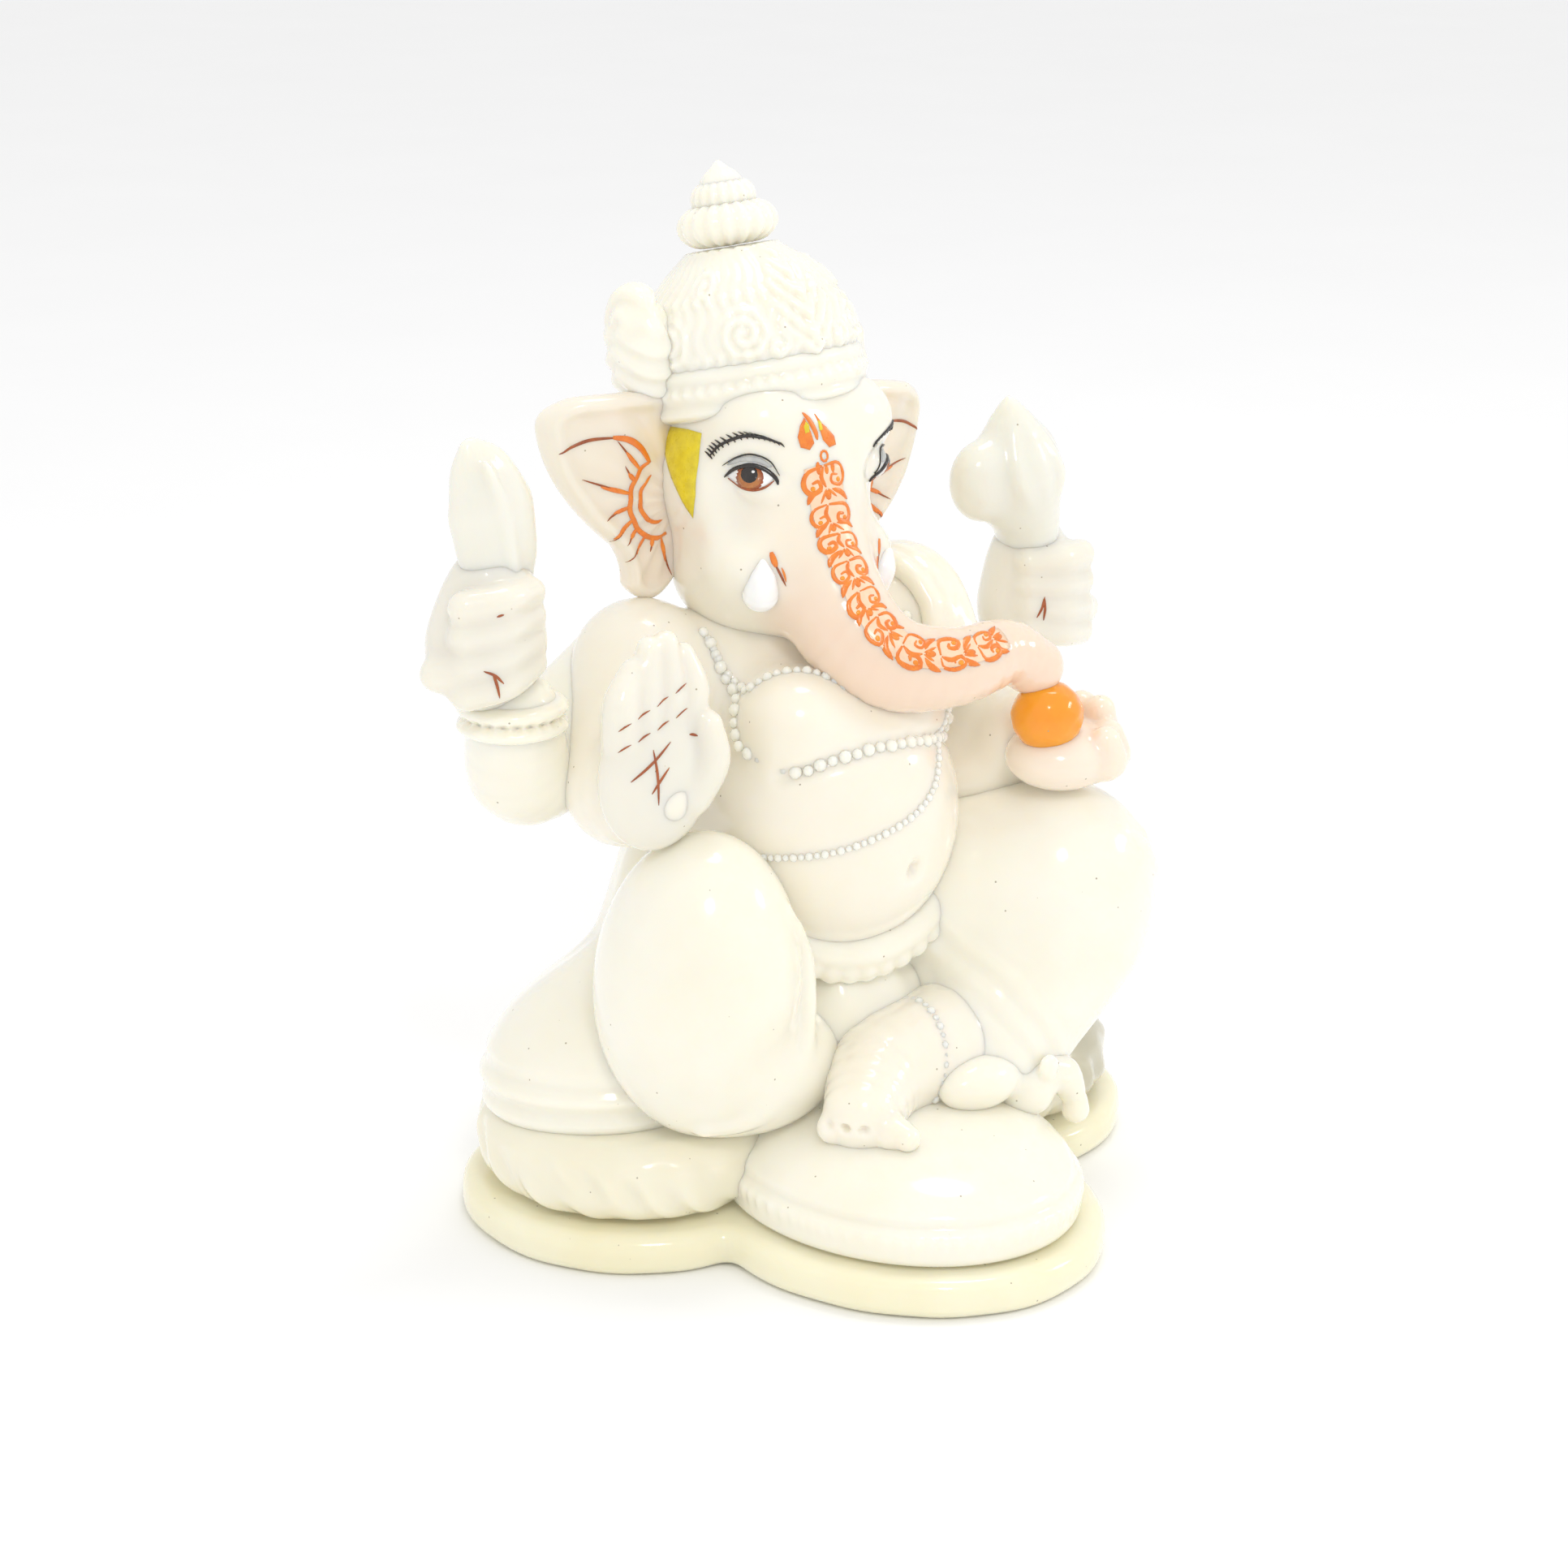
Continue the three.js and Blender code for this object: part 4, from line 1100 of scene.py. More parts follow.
def right_leg():
    """The folded right leg under its cloth, an egg with the hem gathered at its foot."""
    clay = block(0.4, 1.5, "right_leg")
    knee, radii = at("right_leg", -0.21, 0.0, 0.05), (11.8, 12.1, 17.6)
    clay.add(ball(knee, radii, (3, 5, 0)))
    clay.add(ball(at("right_leg", 0.26, -0.04, -0.6), (12, 9.5, 8)), 4)
    for i in range(3):
        fold = [
            on_ball(knee, radii, 42 + 9 * i, 30 - 9 * i, 0.1),
            on_ball(knee, radii, 58 + 7 * i, 4 - 8 * i, 0.9),
            on_ball(knee, radii, 50 + 8 * i, -26 - 5 * i, 1.6),
            on_ball(knee, radii, 12 + 8 * i, -52, 1.0),
            on_ball(knee, radii, -30, -62, 0.4),
        ]
        clay.add(limb(fold, (0.4, 0.8, 0.9, 0.8, 0.4), 16), 1.6)
    cast(clay, IVORY, "ivory_resin", "right_leg")


def left_leg():
    """The raised left leg, with the hem of the cloth in bands above the ankle."""
    nodes = ("left_thigh", "left_shin")
    clay = block(0.42, 1.5, *nodes)
    thigh = spine_path(
        (10, -6, 27.5), (18.5, -17, 35.5), (25.5, -24, 37.5)
    )
    clay.add(limb(thigh, (10, 11.5, 12.0)))
    shin = spine_path(
        (24.3, -24.4, 31.5), (19.3, -24.6, 26.0), (13.6, -24.4, 20.2)
    )
    clay.add(limb(shin, (11.4, 10.5, 9.0)), 4)
    clay.add(ball(by_spine(14.5, -24.6, 17.6), (8.6, 8.2, 6.6)), 4)
    start, way = shin[1], shin[2] - shin[1]
    way = unit(way)

    def bands(x, y, z):
        along = (x - start[0]) * way[0] + (y - start[1]) * way[1] + (z - start[2]) * way[2]
        along = along + 0.25 * (z - start[2])
        hem = np.clip((along - 1.5) / 1.5, 0, 1) * np.clip((8.5 - along) / 1.5, 0, 1)
        return 0.16 * np.sin(along * 2.6) * hem

    clay.carve(bands)
    folds = ((20, 40), (48, 30), (75, 15))
    for around, up in folds:
        crease = [on_ball(thigh[2], 11.9, around + 18 * i, up - 22 * i, -0.1) for i in range(4)]
        clay.add(limb(crease, (0.3, 0.6, 0.6, 0.3), 10), 1.6)
    cast(clay, IVORY, "ivory_resin", *nodes, name="left_leg")


def left_foot():
    clay = block(0.25, 1.5, "left_foot")
    ankle, instep = by_spine(7.5, -24.5, 20.6), by_spine(-2.4, -25.6, 20.0)
    sole = by_spine(-9, -29.8, 17.8)
    clay.add(limb([ankle, instep, sole], (7.2, 6.2, 4.6), 8), 1)
    for k in range(5):
        toe = by_spine(-12.4 + 1.2 * k, -28.6 - 1.9 * k, 16.5)
        size = 1.9 if k == 0 else 1.6
        clay.add(limb([sole * 0.5 + toe * 0.5, toe], (2.2, size), 3), 0.6)
        clay.cut(ball(toe + (-1.7, -1.0, 1.1), (0.8, 0.7, 0.5)), 0.3)
    cast(clay, IVORY, "ivory_resin", "left_foot", weight=0.1)
    for i, spread in enumerate((6.3, 6.7)):
        ring = []
        for step in range(13):
            a = 2 * math.pi * step / 12
            ring.append(
                ankle * (0.7 - 0.25 * i) + instep * (0.3 + 0.25 * i)
                + np.array((0.2 * math.sin(a), math.cos(a) * 0.9, math.sin(a))) * spread
            )
        bead_string("anklet_%d" % (i + 1), ring, 0.6, "ivory_resin")


# ---------------------------------------------------------------- arms and hands


def blessing_hand():
    """The raised right palm with its fingers together."""
    clay = block(0.27, 1.5, "blessing_hand")
    palm = at("blessing_hand", 0, 0.05, -0.32)
    clay.add(ball(palm, (7.4, 4.0, 8.8)))
    for k in range(4):
        root = at("blessing_hand", -0.62 + 0.36 * k, 0.0, 0.1)
        middle = at("blessing_hand", -0.66 + 0.42 * k, -0.12, 0.42)
        tip = at("blessing_hand", -0.36 + 0.30 * k, 0.1, (0.66, 0.84, 0.86, 0.72)[k])
        clay.add(limb([root, middle, tip], (2.3, 2.1, 1.45), 8), 0.9)
    thumb = all_at(
        "blessing_hand", (0.5, -0.3, -0.5), (0.74, -0.6, -0.2), (0.72, -0.55, 0.12)
    )
    clay.add(limb(thumb, (2.7, 2.2, 1.6), 8), 1.0)
    return cast(clay, SHADED_THIN_RESIN, "blush_resin", "blessing_hand", weight=0.12, passes=2)


def ring_of_beads(name, centre, way, radius, size):
    """A bracelet: beads in a circle round a limb that runs along way."""
    way = unit(np.asarray(way, float))
    side = unit(np.cross(way, (0.3, 0.2, 0.9)))
    front = np.cross(way, side)
    turns = np.linspace(0, 2 * math.pi, 25)
    points = [centre + radius * (math.cos(a) * side + math.sin(a) * front) for a in turns]
    return bead_string(name, points, size, "ivory_resin")


def bowl_hand():
    """The cupped left hand under the sweet."""
    clay = block(0.27, 1.5, "bowl_hand")
    centre = at("bowl_hand", -0.05, 0.1, -0.2)
    clay.add(ball(centre, (7.2, 6.4, 4.1)))
    for k in range(4):
        angle = math.radians(-66 + k * 30)
        out = np.array((math.cos(angle), math.sin(angle), 0)) * 5.9
        up = np.array((0, 0, 4.6 if k > 1 else 2.4))
        finger = [centre + out * 0.8, centre + out, centre + out * 0.93 + up]
        clay.add(limb(finger, (2.4, 2.3, 1.8), 6), 0.8)
    cast(clay, IVORY, "blush_resin", "bowl_hand", weight=0.4)


def sweet_laddoo():
    """The round sweet, lumpy under its glaze."""
    centre, half = box("sweet_laddoo")
    clay = Clay(centre - half - 1, centre + half + 1, 0.2)
    clay.add(ball(centre, half))
    lumps = lambda x, y, z: 0.07 * np.sin(x * 2.1) * np.sin(y * 2.4 + 1) * np.sin(z * 2.2)
    clay.carve(lumps)
    cast(clay, SWEET, "marigold_paint", "sweet_laddoo")


def rear_arm(side, node):
    low, high = extent(node)
    clay = Clay(low - 1.5, high + 1.5, 0.36)
    hand = "rear_hand_right" if side == RIGHT else "rear_hand_left"
    shoulder = at(node, -side * 0.58, -0.0, 0.0)
    shoulder[1] = at(node, 0, 0.24)[1]
    shoulder[2] = high[2] - 7.4
    elbow = at(node, side * 0.47, -0.16, 0)
    elbow[2] = at(hand)[2] - 18
    wrist = at("rear_cuff_right" if side == RIGHT else "rear_cuff_left")
    middle = (shoulder + elbow) / 2 + np.array((0, 0.5, -0.6))
    clay.add(limb([shoulder, middle, elbow, wrist], (7.6, 7.2, 6.4, 5.4), 14))
    return cast(clay, IVORY, "ivory_resin", node)


def rear_cuff(node):
    """A bangle of two rolls with a beaded line between them."""
    centre, half = box(node)
    clay = Clay(centre - half - 1, centre + half + 1, 0.25)
    for level in (-0.42, 0.42):
        offset = np.array((0, 0, level * half[2]))
        clay.add(ball(centre + offset, (half[0] - 0.1, half[1] - 0.1, half[2] * 0.62)), 0.3)

    def notches(x, y, z):
        around = np.arctan2(y - centre[1], x - centre[0])
        return 0.18 * np.maximum(np.sin(around * 22), 0) * np.exp(-(((z - centre[2]) / 0.7) ** 2))

    clay.carve(notches)
    cast(clay, IVORY, "ivory_resin", node)


def rear_hand(side, node):
    """A raised hand whose fingers close on what it holds."""
    clay = block(0.28, 1.5, node)
    clay.add(ball(at(node, -side * 0.08, 0.1, -0.1), (7.4, 5.2, 7.8), (0, side * 10, 0)))
    clay.add(ball(at(node, -side * 0.14, 0.05, 0.6), (5.0, 4.2, 5.4)), 3)
    for k in (-1, 0, 1, 2):
        start = at(node, side * 0.5, -0.55, -0.2 + 0.38 * k)
        middle = at(node, 0, -0.8, -0.12 + 0.36 * k)
        end = at(node, -side * 0.5, -0.6, -0.02 + 0.32 * k)
        clay.add(limb([start, middle, end], (1.9, 1.9, 1.5), 8), 1.1)
    thumb = at(node, side * 0.72, -0.2, -0.32)
    clay.add(ball(thumb, (2.5, 2.4, 2.1)), 1.6)
    return cast(clay, SHADED_THIN_RESIN, "blush_resin", node, weight=0.14, passes=2)


def axe_blade():
    """The leaf-shaped axe blade."""
    clay = block(0.27, 1.5, "axe_blade")
    middle = at("axe_blade")[1]
    line = all_at(
        "axe_blade", (0.2, 0, -0.95), (0.05, 0, -0.5), (-0.08, 0, 0.0), (-0.28, 0, 0.45), (-0.5, 0, 0.8)
    )
    clay.add(flattened(limb(line, (3.4, 5.0, 5.3, 4.0, 1.7), 18), middle, 1.75))
    spine = [p + np.array((0, -2.6, 0)) for p in line]
    clay.add(limb(spine, (0.3, 0.5, 0.5, 0.4, 0.2), 14), 1.2)
    cast(clay, SHADED_THIN_RESIN, "ivory_resin", "axe_blade", weight=0.06)


def lotus_bud():
    """The lotus bud: wrapped petals that come to a point, with one leaning out."""
    clay = block(0.27, 1.5, "lotus_bud")
    foot, top = at("lotus_bud", 0.5, 0, -1.0), at("lotus_bud", 0.05, 0, 1.0)
    heart = at("lotus_bud", 0.2, 0, 0.02)
    clay.add(limb([foot, at("lotus_bud", 0.42, 0, -0.5), heart], (3.6, 4.4, 5.4), 8))
    clay.add(ball(heart, (6.6, 4.3, 7.2)), 1.5)
    clay.add(ball(at("lotus_bud", -0.42, 0, 0.0), (4.6, 3.5, 5.1)), 1.2)
    clay.add(limb([heart, at("lotus_bud", 0.12, 0, 0.62), top], (4.6, 2.8, 0.4), 8), 1.5)
    for lean in (-0.5, 0.1, 0.62):
        petal = [
            at("lotus_bud", 0.4, -0.7, -0.55),
            at("lotus_bud", 0.2 + lean * 0.7, -0.98, 0.05),
            at("lotus_bud", 0.1 + lean * 0.35, -0.5, 0.6),
        ]
        clay.add(limb(petal, (0.4, 0.8, 0.3), 10), 1.2)
    cast(clay, SHADED_THIN_RESIN, "ivory_resin", "lotus_bud", weight=0.04)


def mouse():
    """The mouse on the foot pad, with its nose over the rim."""
    nodes = ("mouse_body", "mouse_head")
    clay = block(0.2, 1.5, *nodes)
    nose = at("mouse_head") * (1, 1, 0) + (0, 0, 16.1)
    clay.add(ball(at("mouse_body", -0.2, 0, 0.0), (5.8, 3.4, 3.2)))
    clay.add(ball(nose + (-3.6, 0.6, -0.4), (3.5, 3.2, 3.4)), 1.2)
    snout = [
        nose + (-1.6, 0.4, 1.4),
        nose + (1.2, -0.2, 0.4),
        nose + (2.8, -0.6, -2.6),
        nose + (3.1, -0.7, -4.4),
    ]
    clay.add(limb(snout, (2.6, 2.3, 1.5, 1.7), 12), 1.0)
    for side in (-1, 1):
        clay.add(ball(nose + (-2.6, 2.0 * side, 2.9), (1.4, 0.8, 1.6)), 0.4)
        clay.add(ball(nose + (0.2, 2.1 * side, 0.8), 0.5), 0.15)
    cast(clay, IVORY, "ivory_resin", *nodes, name="mouse")


# ---------------------------------------------------------------- painted marks


class Easel:
    """A flat sheet in front of a skin: what is drawn on it in mm lands on the skin behind it."""

    def __init__(self, skin, centre, facing, roll=0.0):
        self.skin = skin
        self.way = -unit(np.asarray(facing, float))
        across = unit(np.cross(self.way, (0, 0, 1)))
        up = np.cross(across, self.way)
        a = math.radians(roll)
        self.across = math.cos(a) * across + math.sin(a) * up
        self.up = math.cos(a) * up - math.sin(a) * across
        self.centre = np.asarray(centre, float) - self.way * 30

    def place(self, u, v):
        return self.skin.drop(self.centre + self.across * u + self.up * v, self.way)


class Tape(Easel):
    """A sheet bent along a line, such as a trunk: u runs across it and v along it, in mm."""

    def __init__(self, skin, line, facings):
        self.skin = skin
        self.line = np.asarray(line)
        self.along = running_length(self.line)
        self.facings = np.asarray(facings, float)

    def place(self, u, v):
        share = v / self.along[-1]
        behind, here, ahead = (read_line(self.line, self.along, v + step) for step in (-1, 0, 1))
        stations = np.linspace(0, 1, len(self.facings))
        facing = read_line(self.facings, stations, share)
        tangent = unit(ahead - behind)
        facing = unit(facing - tangent * (facing @ tangent))
        across = np.cross(tangent, facing)
        return self.skin.drop(here + facing * 20 + across * u, -facing)


def closer(outline, step=0.45):
    """A closed outline with points added until none are further apart than step."""
    points = []
    for start, end in zip(outline, np.roll(outline, -1, 0)):
        parts = max(int(np.linalg.norm(end - start) / step), 1)
        points += [start + (end - start) * k / parts for k in range(parts)]
    return np.array(points)


SUNK = 0.25  # mm, how deep paint reaches under a skin
STROKE_SIDES = 8
STROKE_STEP = 0.35  # mm between a stroke's stations


class Brush:
    """Collects strokes and patches of one paint, and makes them one piece."""

    def __init__(self, name, material, slot, lift=0.07):
        self.name, self.material, self.slot, self.lift = name, material, slot, lift
        self.vertices, self.faces = [], []

    def stroke(self, easel, points, width, ends=0.25):
        """A brush stroke through (u, v) points; it narrows to a share of its width at its ends."""
        points = np.asarray(points, float)
        length = np.sum(np.linalg.norm(np.diff(points, axis=0), axis=1))
        count = max(int(length / STROKE_STEP), 4)
        hits = [easel.place(u, v) for u, v in spline(points, count)]
        hits = [h for h in hits if h is not None]
        if len(hits) < 3:
            return self
        places = np.array([h[0] for h in hits])
        sides = STROKE_SIDES
        first = len(self.vertices)
        for i, (place, normal) in enumerate(hits):
            tangent = places[min(i + 1, len(places) - 1)] - places[max(i - 1, 0)]
            across = np.cross(normal, tangent)
            across = across / max(np.linalg.norm(across), 1e-9)
            share = i / (len(hits) - 1)
            half = width / 2 * (ends + (1 - ends) * math.sin(math.pi * share) ** 0.6)
            for s in range(sides):
                turn = 2 * math.pi * s / sides
                rise = self.lift if math.sin(turn) > 0 else SUNK
                self.vertices.append(
                    place + across * half * math.cos(turn) + normal * rise * math.sin(turn)
                )
        for i in range(len(hits) - 1):
            a = first + i * sides
            for s in range(sides):
                t = (s + 1) % sides
                self.faces.append((a + s, a + t, a + sides + t, a + sides + s))
        self.faces.append(tuple(first + s for s in reversed(range(sides))))
        last = first + (len(hits) - 1) * sides
        self.faces.append(tuple(last + s for s in range(sides)))
        return self

    def patch(self, easel, outline, rings=6):
        """A filled mark inside an outline that its middle can see all of."""
        middle = np.mean(outline, 0)
        outline = closer(np.asarray(outline, float))
        hit = easel.place(*middle)
        if hit is None:
            return self
        top, under = [hit[0] + hit[1] * self.lift], [hit[0] - hit[1] * SUNK]
        for ring in range(1, rings + 1):
            share = ring / rings
            for point in outline:
                found = easel.place(*(middle + (point - middle) * share)) or hit
                lift = self.lift if ring < rings else self.lift * 0.6
                top.append(found[0] + found[1] * lift)
                under.append(found[0] - found[1] * SUNK)
        first, count = len(self.vertices), len(outline)
        self.vertices += top + under
        below = first + len(top)
        for s in range(count):
            t = (s + 1) % count
            self.faces.append((first, first + 1 + s, first + 1 + t))
            self.faces.append((below, below + 1 + t, below + 1 + s))
            for ring in range(rings - 1):
                a, b = 1 + ring * count, 1 + (ring + 1) * count
                self.faces.append((first + a + s, first + b + s, first + b + t, first + a + t))
                self.faces.append((below + a + s, below + a + t, below + b + t, below + b + s))
            edge = 1 + (rings - 1) * count
            self.faces.append((first + edge + s, below + edge + s, below + edge + t, first + edge + t))
        return self

    def finish(self):
        thing = mesh_object(self.name, np.array(self.vertices) * MM, self.faces)
        return settle(thing, self.material, self.slot)


def disc(u, v, across, high, count=20):
    angles = np.linspace(0, 2 * math.pi, count, endpoint=False)
    return [(u + across * math.cos(a), v + high * math.sin(a)) for a in angles]


def lid_edge(u, width, reach):
    """How far a lid's edge is from the eye's middle line at u."""
    return reach * max(math.cos(math.pi * u / width), 0) ** 0.8


def between_lids(points, width, top, bottom):
    """The points of an outline, drawn in to the opening of the lids."""
    return [
        (u, min(max(v, -lid_edge(u, width, bottom)), lid_edge(u, width, top))) for u, v in points
    ]


def almond(width, top, bottom, count=14):
    """The opening of an eye."""
    across = np.linspace(-width / 2, width / 2, count)
    upper = [(u, lid_edge(u, width, top)) for u in across]
    lower = [(u, -lid_edge(u, width, bottom)) for u in across[::-1][1:-1]]
    return upper + lower


def eyes(skin):
    """Painted eyes: white, ringed iris under the lid, pupil, outlines, lid shade, brow hairs and a
    painted highlight on each pupil.
    """
    white = Brush("eye_whites", EYE_WHITE, "white_resin", 0.05)
    rim = Brush("eye_rims", RUST, "dark_paint", 0.09)
    iris = Brush("eye_irises", BROWN, "dark_paint", 0.13)
    pupil = Brush("eye_pupils", BLACK, "dark_paint", 0.17)
    shade = Brush("eye_lids", GREY, "dark_paint", 0.07)
    black = Brush("eye_lines", BLACK, "dark_paint", 0.20)
    painted_glint = Brush("eye_glints", EYE_WHITE, "white_resin", 0.23)
    width, top, bottom = 5.5, 1.15, 1.35
    for side in (RIGHT, LEFT):
        easel = Easel(skin, on_head(side * 9.4, -8.8, 1.0), (side * 0.62, -0.78, 0.12), roll=1.0)
        m = lambda u, v: (-side * u, v)
        white.patch(easel, almond(width, top, bottom))
        rim.patch(easel, between_lids(disc(*m(-0.1, -0.1), 1.62, 1.5), width, top, bottom))
        iris.patch(easel, between_lids(disc(*m(-0.1, -0.1), 1.34, 1.22), width, top, bottom - 0.15))
        pupil.patch(easel, between_lids(disc(*m(-0.1, 0.25), 1.0, 0.95), width, top, bottom))
        # A painted highlight: a white dot on the pupil where a reflection of the light falls.
        painted_glint.patch(easel, disc(*m(0.35, 0.55), 0.24, 0.2, 10), rings=2)
        lash = [m(-3.0, -0.15), m(-1.8, 0.85), m(0, 1.3), m(1.7, 0.8), m(2.9, -0.2), m(3.1, -0.9)]
        black.stroke(easel, lash, 0.62)
        lower = [m(-2.6, -0.3), m(-1.3, -1.15), m(0.2, -1.45), m(1.6, -1.15), m(2.7, -0.4)]
        rim.stroke(easel, lower, 0.34)
        shade.stroke(easel, [m(-2.6, 1.3), m(-1.0, 2.0), m(0.8, 1.95), m(2.4, 1.1)], 0.7)
        fold = [m(-3.2, 1.2), m(-1.6, 2.2), m(0.2, 2.6), m(2.2, 1.8), m(3.3, 0.1)]
        black.stroke(easel, fold, 0.2)
        brow = spline([(-4.6, 2.3), (-3.4, 3.6), (-0.8, 4.7), (1.6, 4.5), (3.6, 3.7)], 15)
        black.stroke(easel, [m(*p) for p in brow], 0.42)
        for i, (u, v) in enumerate(brow):
            lean = 0.5 + 0.04 * i
            hair = [m(u + 0.3, v - 0.35), m(u - 0.1, v + 0.1), m(u - lean, v + 0.5)]
            black.stroke(easel, hair, 0.24, ends=0.1)
    for brush in (white, rim, iris, pupil, shade, painted_glint, black):
        brush.finish()


def forehead(skin):
    """The flame mark over the trunk, and the yellow patches by the temples."""
    flame = Brush("tilak_flame", ORANGE, "orange_paint", 0.08)
    glow = Brush("tilak_glow", YELLOW, "yellow_paint", 0.13)
    easel = Easel(skin, on_head(-2.9, -12, 5.7), (-0.12, -1, 0.25))
    right = [(-2.3, -0.9), (-1.2, -1.3), (-0.5, -0.6), (-0.8, 0.7), (-1.4, 2.4)]
    right += [(-2.1, 1.6), (-2.6, 0.3)]
    flame.patch(easel, right)
    left = [(0.8, -0.4), (1.6, -1.3), (2.6, -1.1), (2.5, -0.1), (1.5, 1.1), (0.9, 1.6), (0.6, 0.6)]
    flame.patch(easel, left)
    flame.stroke(easel, [(-1.5, 3.0), (-0.7, 2.0), (-0.1, 0.6), (0.0, -0.3)], 0.7)
    flame.stroke(easel, [(0.2, 2.7), (0.8, 1.6), (1.2, 0.7)], 0.4)
    glow.patch(easel, [(-1.6, 0.6), (-1.0, 0.7), (-0.9, 1.5), (-1.3, 2.0), (-1.7, 1.4)], rings=3)
    glow.patch(easel, [(0.5, 0.7), (1.0, 0.8), (0.9, 1.7), (0.5, 1.9)], rings=3)
    around = np.linspace(0, 6.2, 10)
    ring = [(0.7 + 0.5 * math.sin(a), -2.2 + 0.6 * math.cos(a)) for a in around]
    flame.stroke(easel, ring, 0.34, ends=0.9)
    for u, v, high in ((-0.3, -3.5, 0.75), (0.8, -3.8, 0.5), (1.7, -3.6, 0.6)):
        flame.patch(easel, disc(u, v, 0.3, high, 12), rings=3)
    flame.finish()
    glow.finish()
    yellow = Brush("temple_patches", YELLOW, "yellow_paint", 0.06)
    corners = [(3.2, 6.2), (0.6, 6.2), (-1.8, 6.0), (-4.6, 5.6), (-3.6, 3.6), (-1.8, 1.6)]
    corners += [(0.2, -0.8), (1.6, -2.8), (2.5, -3.8), (3.2, -1.0), (3.4, 3.0)]
    for side in (RIGHT, LEFT):
        easel = Easel(skin, HEAD, (side, 0, 0))
        yellow.patch(easel, [(-side * u, v) for u, v in corners])
    yellow.finish()


def trunk_scroll(skin):
    """The painted scroll down the front of the trunk and along its top to the tip."""
    path = spline(TRUNK_LINE, 80)
    facings = ((-0.04, -1, 0.1), (-0.02, -1, 0), (0, -1, 0.1), (0, -9, 4.5), (0, -7, 7), (0, -6, 8))
    facings = [unit(np.array(facing)) for facing in facings]
    tape = Tape(skin, path, facings)
    wash = Brush("trunk_scroll_wash", PEACH, "orange_paint", 0.05)
    scroll = Brush("trunk_scroll", ORANGE, "orange_paint", 0.10)
    light = Brush("trunk_scroll_light", AMBER, "orange_paint", 0.13)
    pitch, start = 4.3, 0.6
    count = int((tape.along[-1] - 5.0 - start) / pitch)
    end = start + count * pitch
    down = np.linspace(start, end, 48)
    half = 2.5 - 1.1 * (down - start) / (end - start)
    edge = [(h, v) for h, v in zip(half, down)] + [(-h, v) for h, v in zip(half[::-1], down[::-1])]
    wash.patch(tape, edge, rings=26)
    for i in range(count):
        v = start + i * pitch
        wide = 2.7 * (1 - 0.40 * i / count)
        sway = 0.35 * math.sin(2.1 * i)
        for side in (-1, 1):
            skew = 0.25 * math.sin(1.7 * i + side)
            curl = [
                (0.15 * side + sway, v + 0.1),
                (0.8 * wide * side, v + 0.3 + skew),
                (1.02 * wide * side, v + 1.5 + skew),
                (0.75 * wide * side, v + 2.6 + skew),
                (0.3 * wide * side, v + 2.2 + skew),
                (0.36 * wide * side, v + 1.4 + skew),
                (0.66 * wide * side, v + 1.5 + skew),
            ]
            scroll.stroke(tape, curl, 0.62 + 0.12 * math.sin(3.1 * i + side), ends=0.45)
            leaf = [
                (0.25 * wide * side + sway, v + 2.7),
                (0.7 * wide * side, v + 3.1 - skew),
                (1.0 * wide * side, v + 4.1 - skew),
            ]
            scroll.stroke(tape, leaf, 0.85, ends=0.15)
            vein = [(0.12 * side + sway, v + 2.6), (0.42 * wide * side, v + 3.9 + skew)]
            scroll.stroke(tape, vein, 0.45)
            light.patch(tape, disc(0.66 * wide * side, v + 2.05 + skew, 0.3, 0.3, 8), rings=2)
        heart = [(sway, v + 0.2), (0.5 + sway, v + 1.2), (0.1 + sway, v + 2.4)]
        scroll.stroke(tape, heart, 0.7, ends=0.3)
        scroll.patch(tape, disc(sway, v + 3.3, 0.42, 0.6, 10), rings=2)
    for brush in (wash, scroll, light):
        brush.finish()


def mouth_marks(skin):
    """The short painted stroke over each tusk: thick above, with a dark tail."""
    marks = Brush("mouth_marks", ORANGE, "orange_paint", 0.08)
    tails = Brush("mouth_tails", RUST, "dark_paint", 0.06)
    for side in (RIGHT, LEFT):
        easel = Easel(skin, on_head(side * 5.4, -10, -9.4), (side * 0.6, -0.8, 0.1))
        top = [(-side * u, v) for u, v in ((-0.9, 2.1), (-0.6, 1.2), (-0.3, 0.4))]
        marks.stroke(easel, top, 0.75, ends=0.5)
        tail = [(-side * u, v) for u, v in ((-0.6, 1.0), (0.1, -0.4), (0.8, -1.9))]
        tails.stroke(easel, tail, 0.3, ends=0.15)
        marks.stroke(easel, [(-side * u, v) for u, v in ((0.3, 0.3), (0.6, -0.5), (0.8, -1.4))], 0.28)
    for brush in (marks, tails):
        brush.finish()


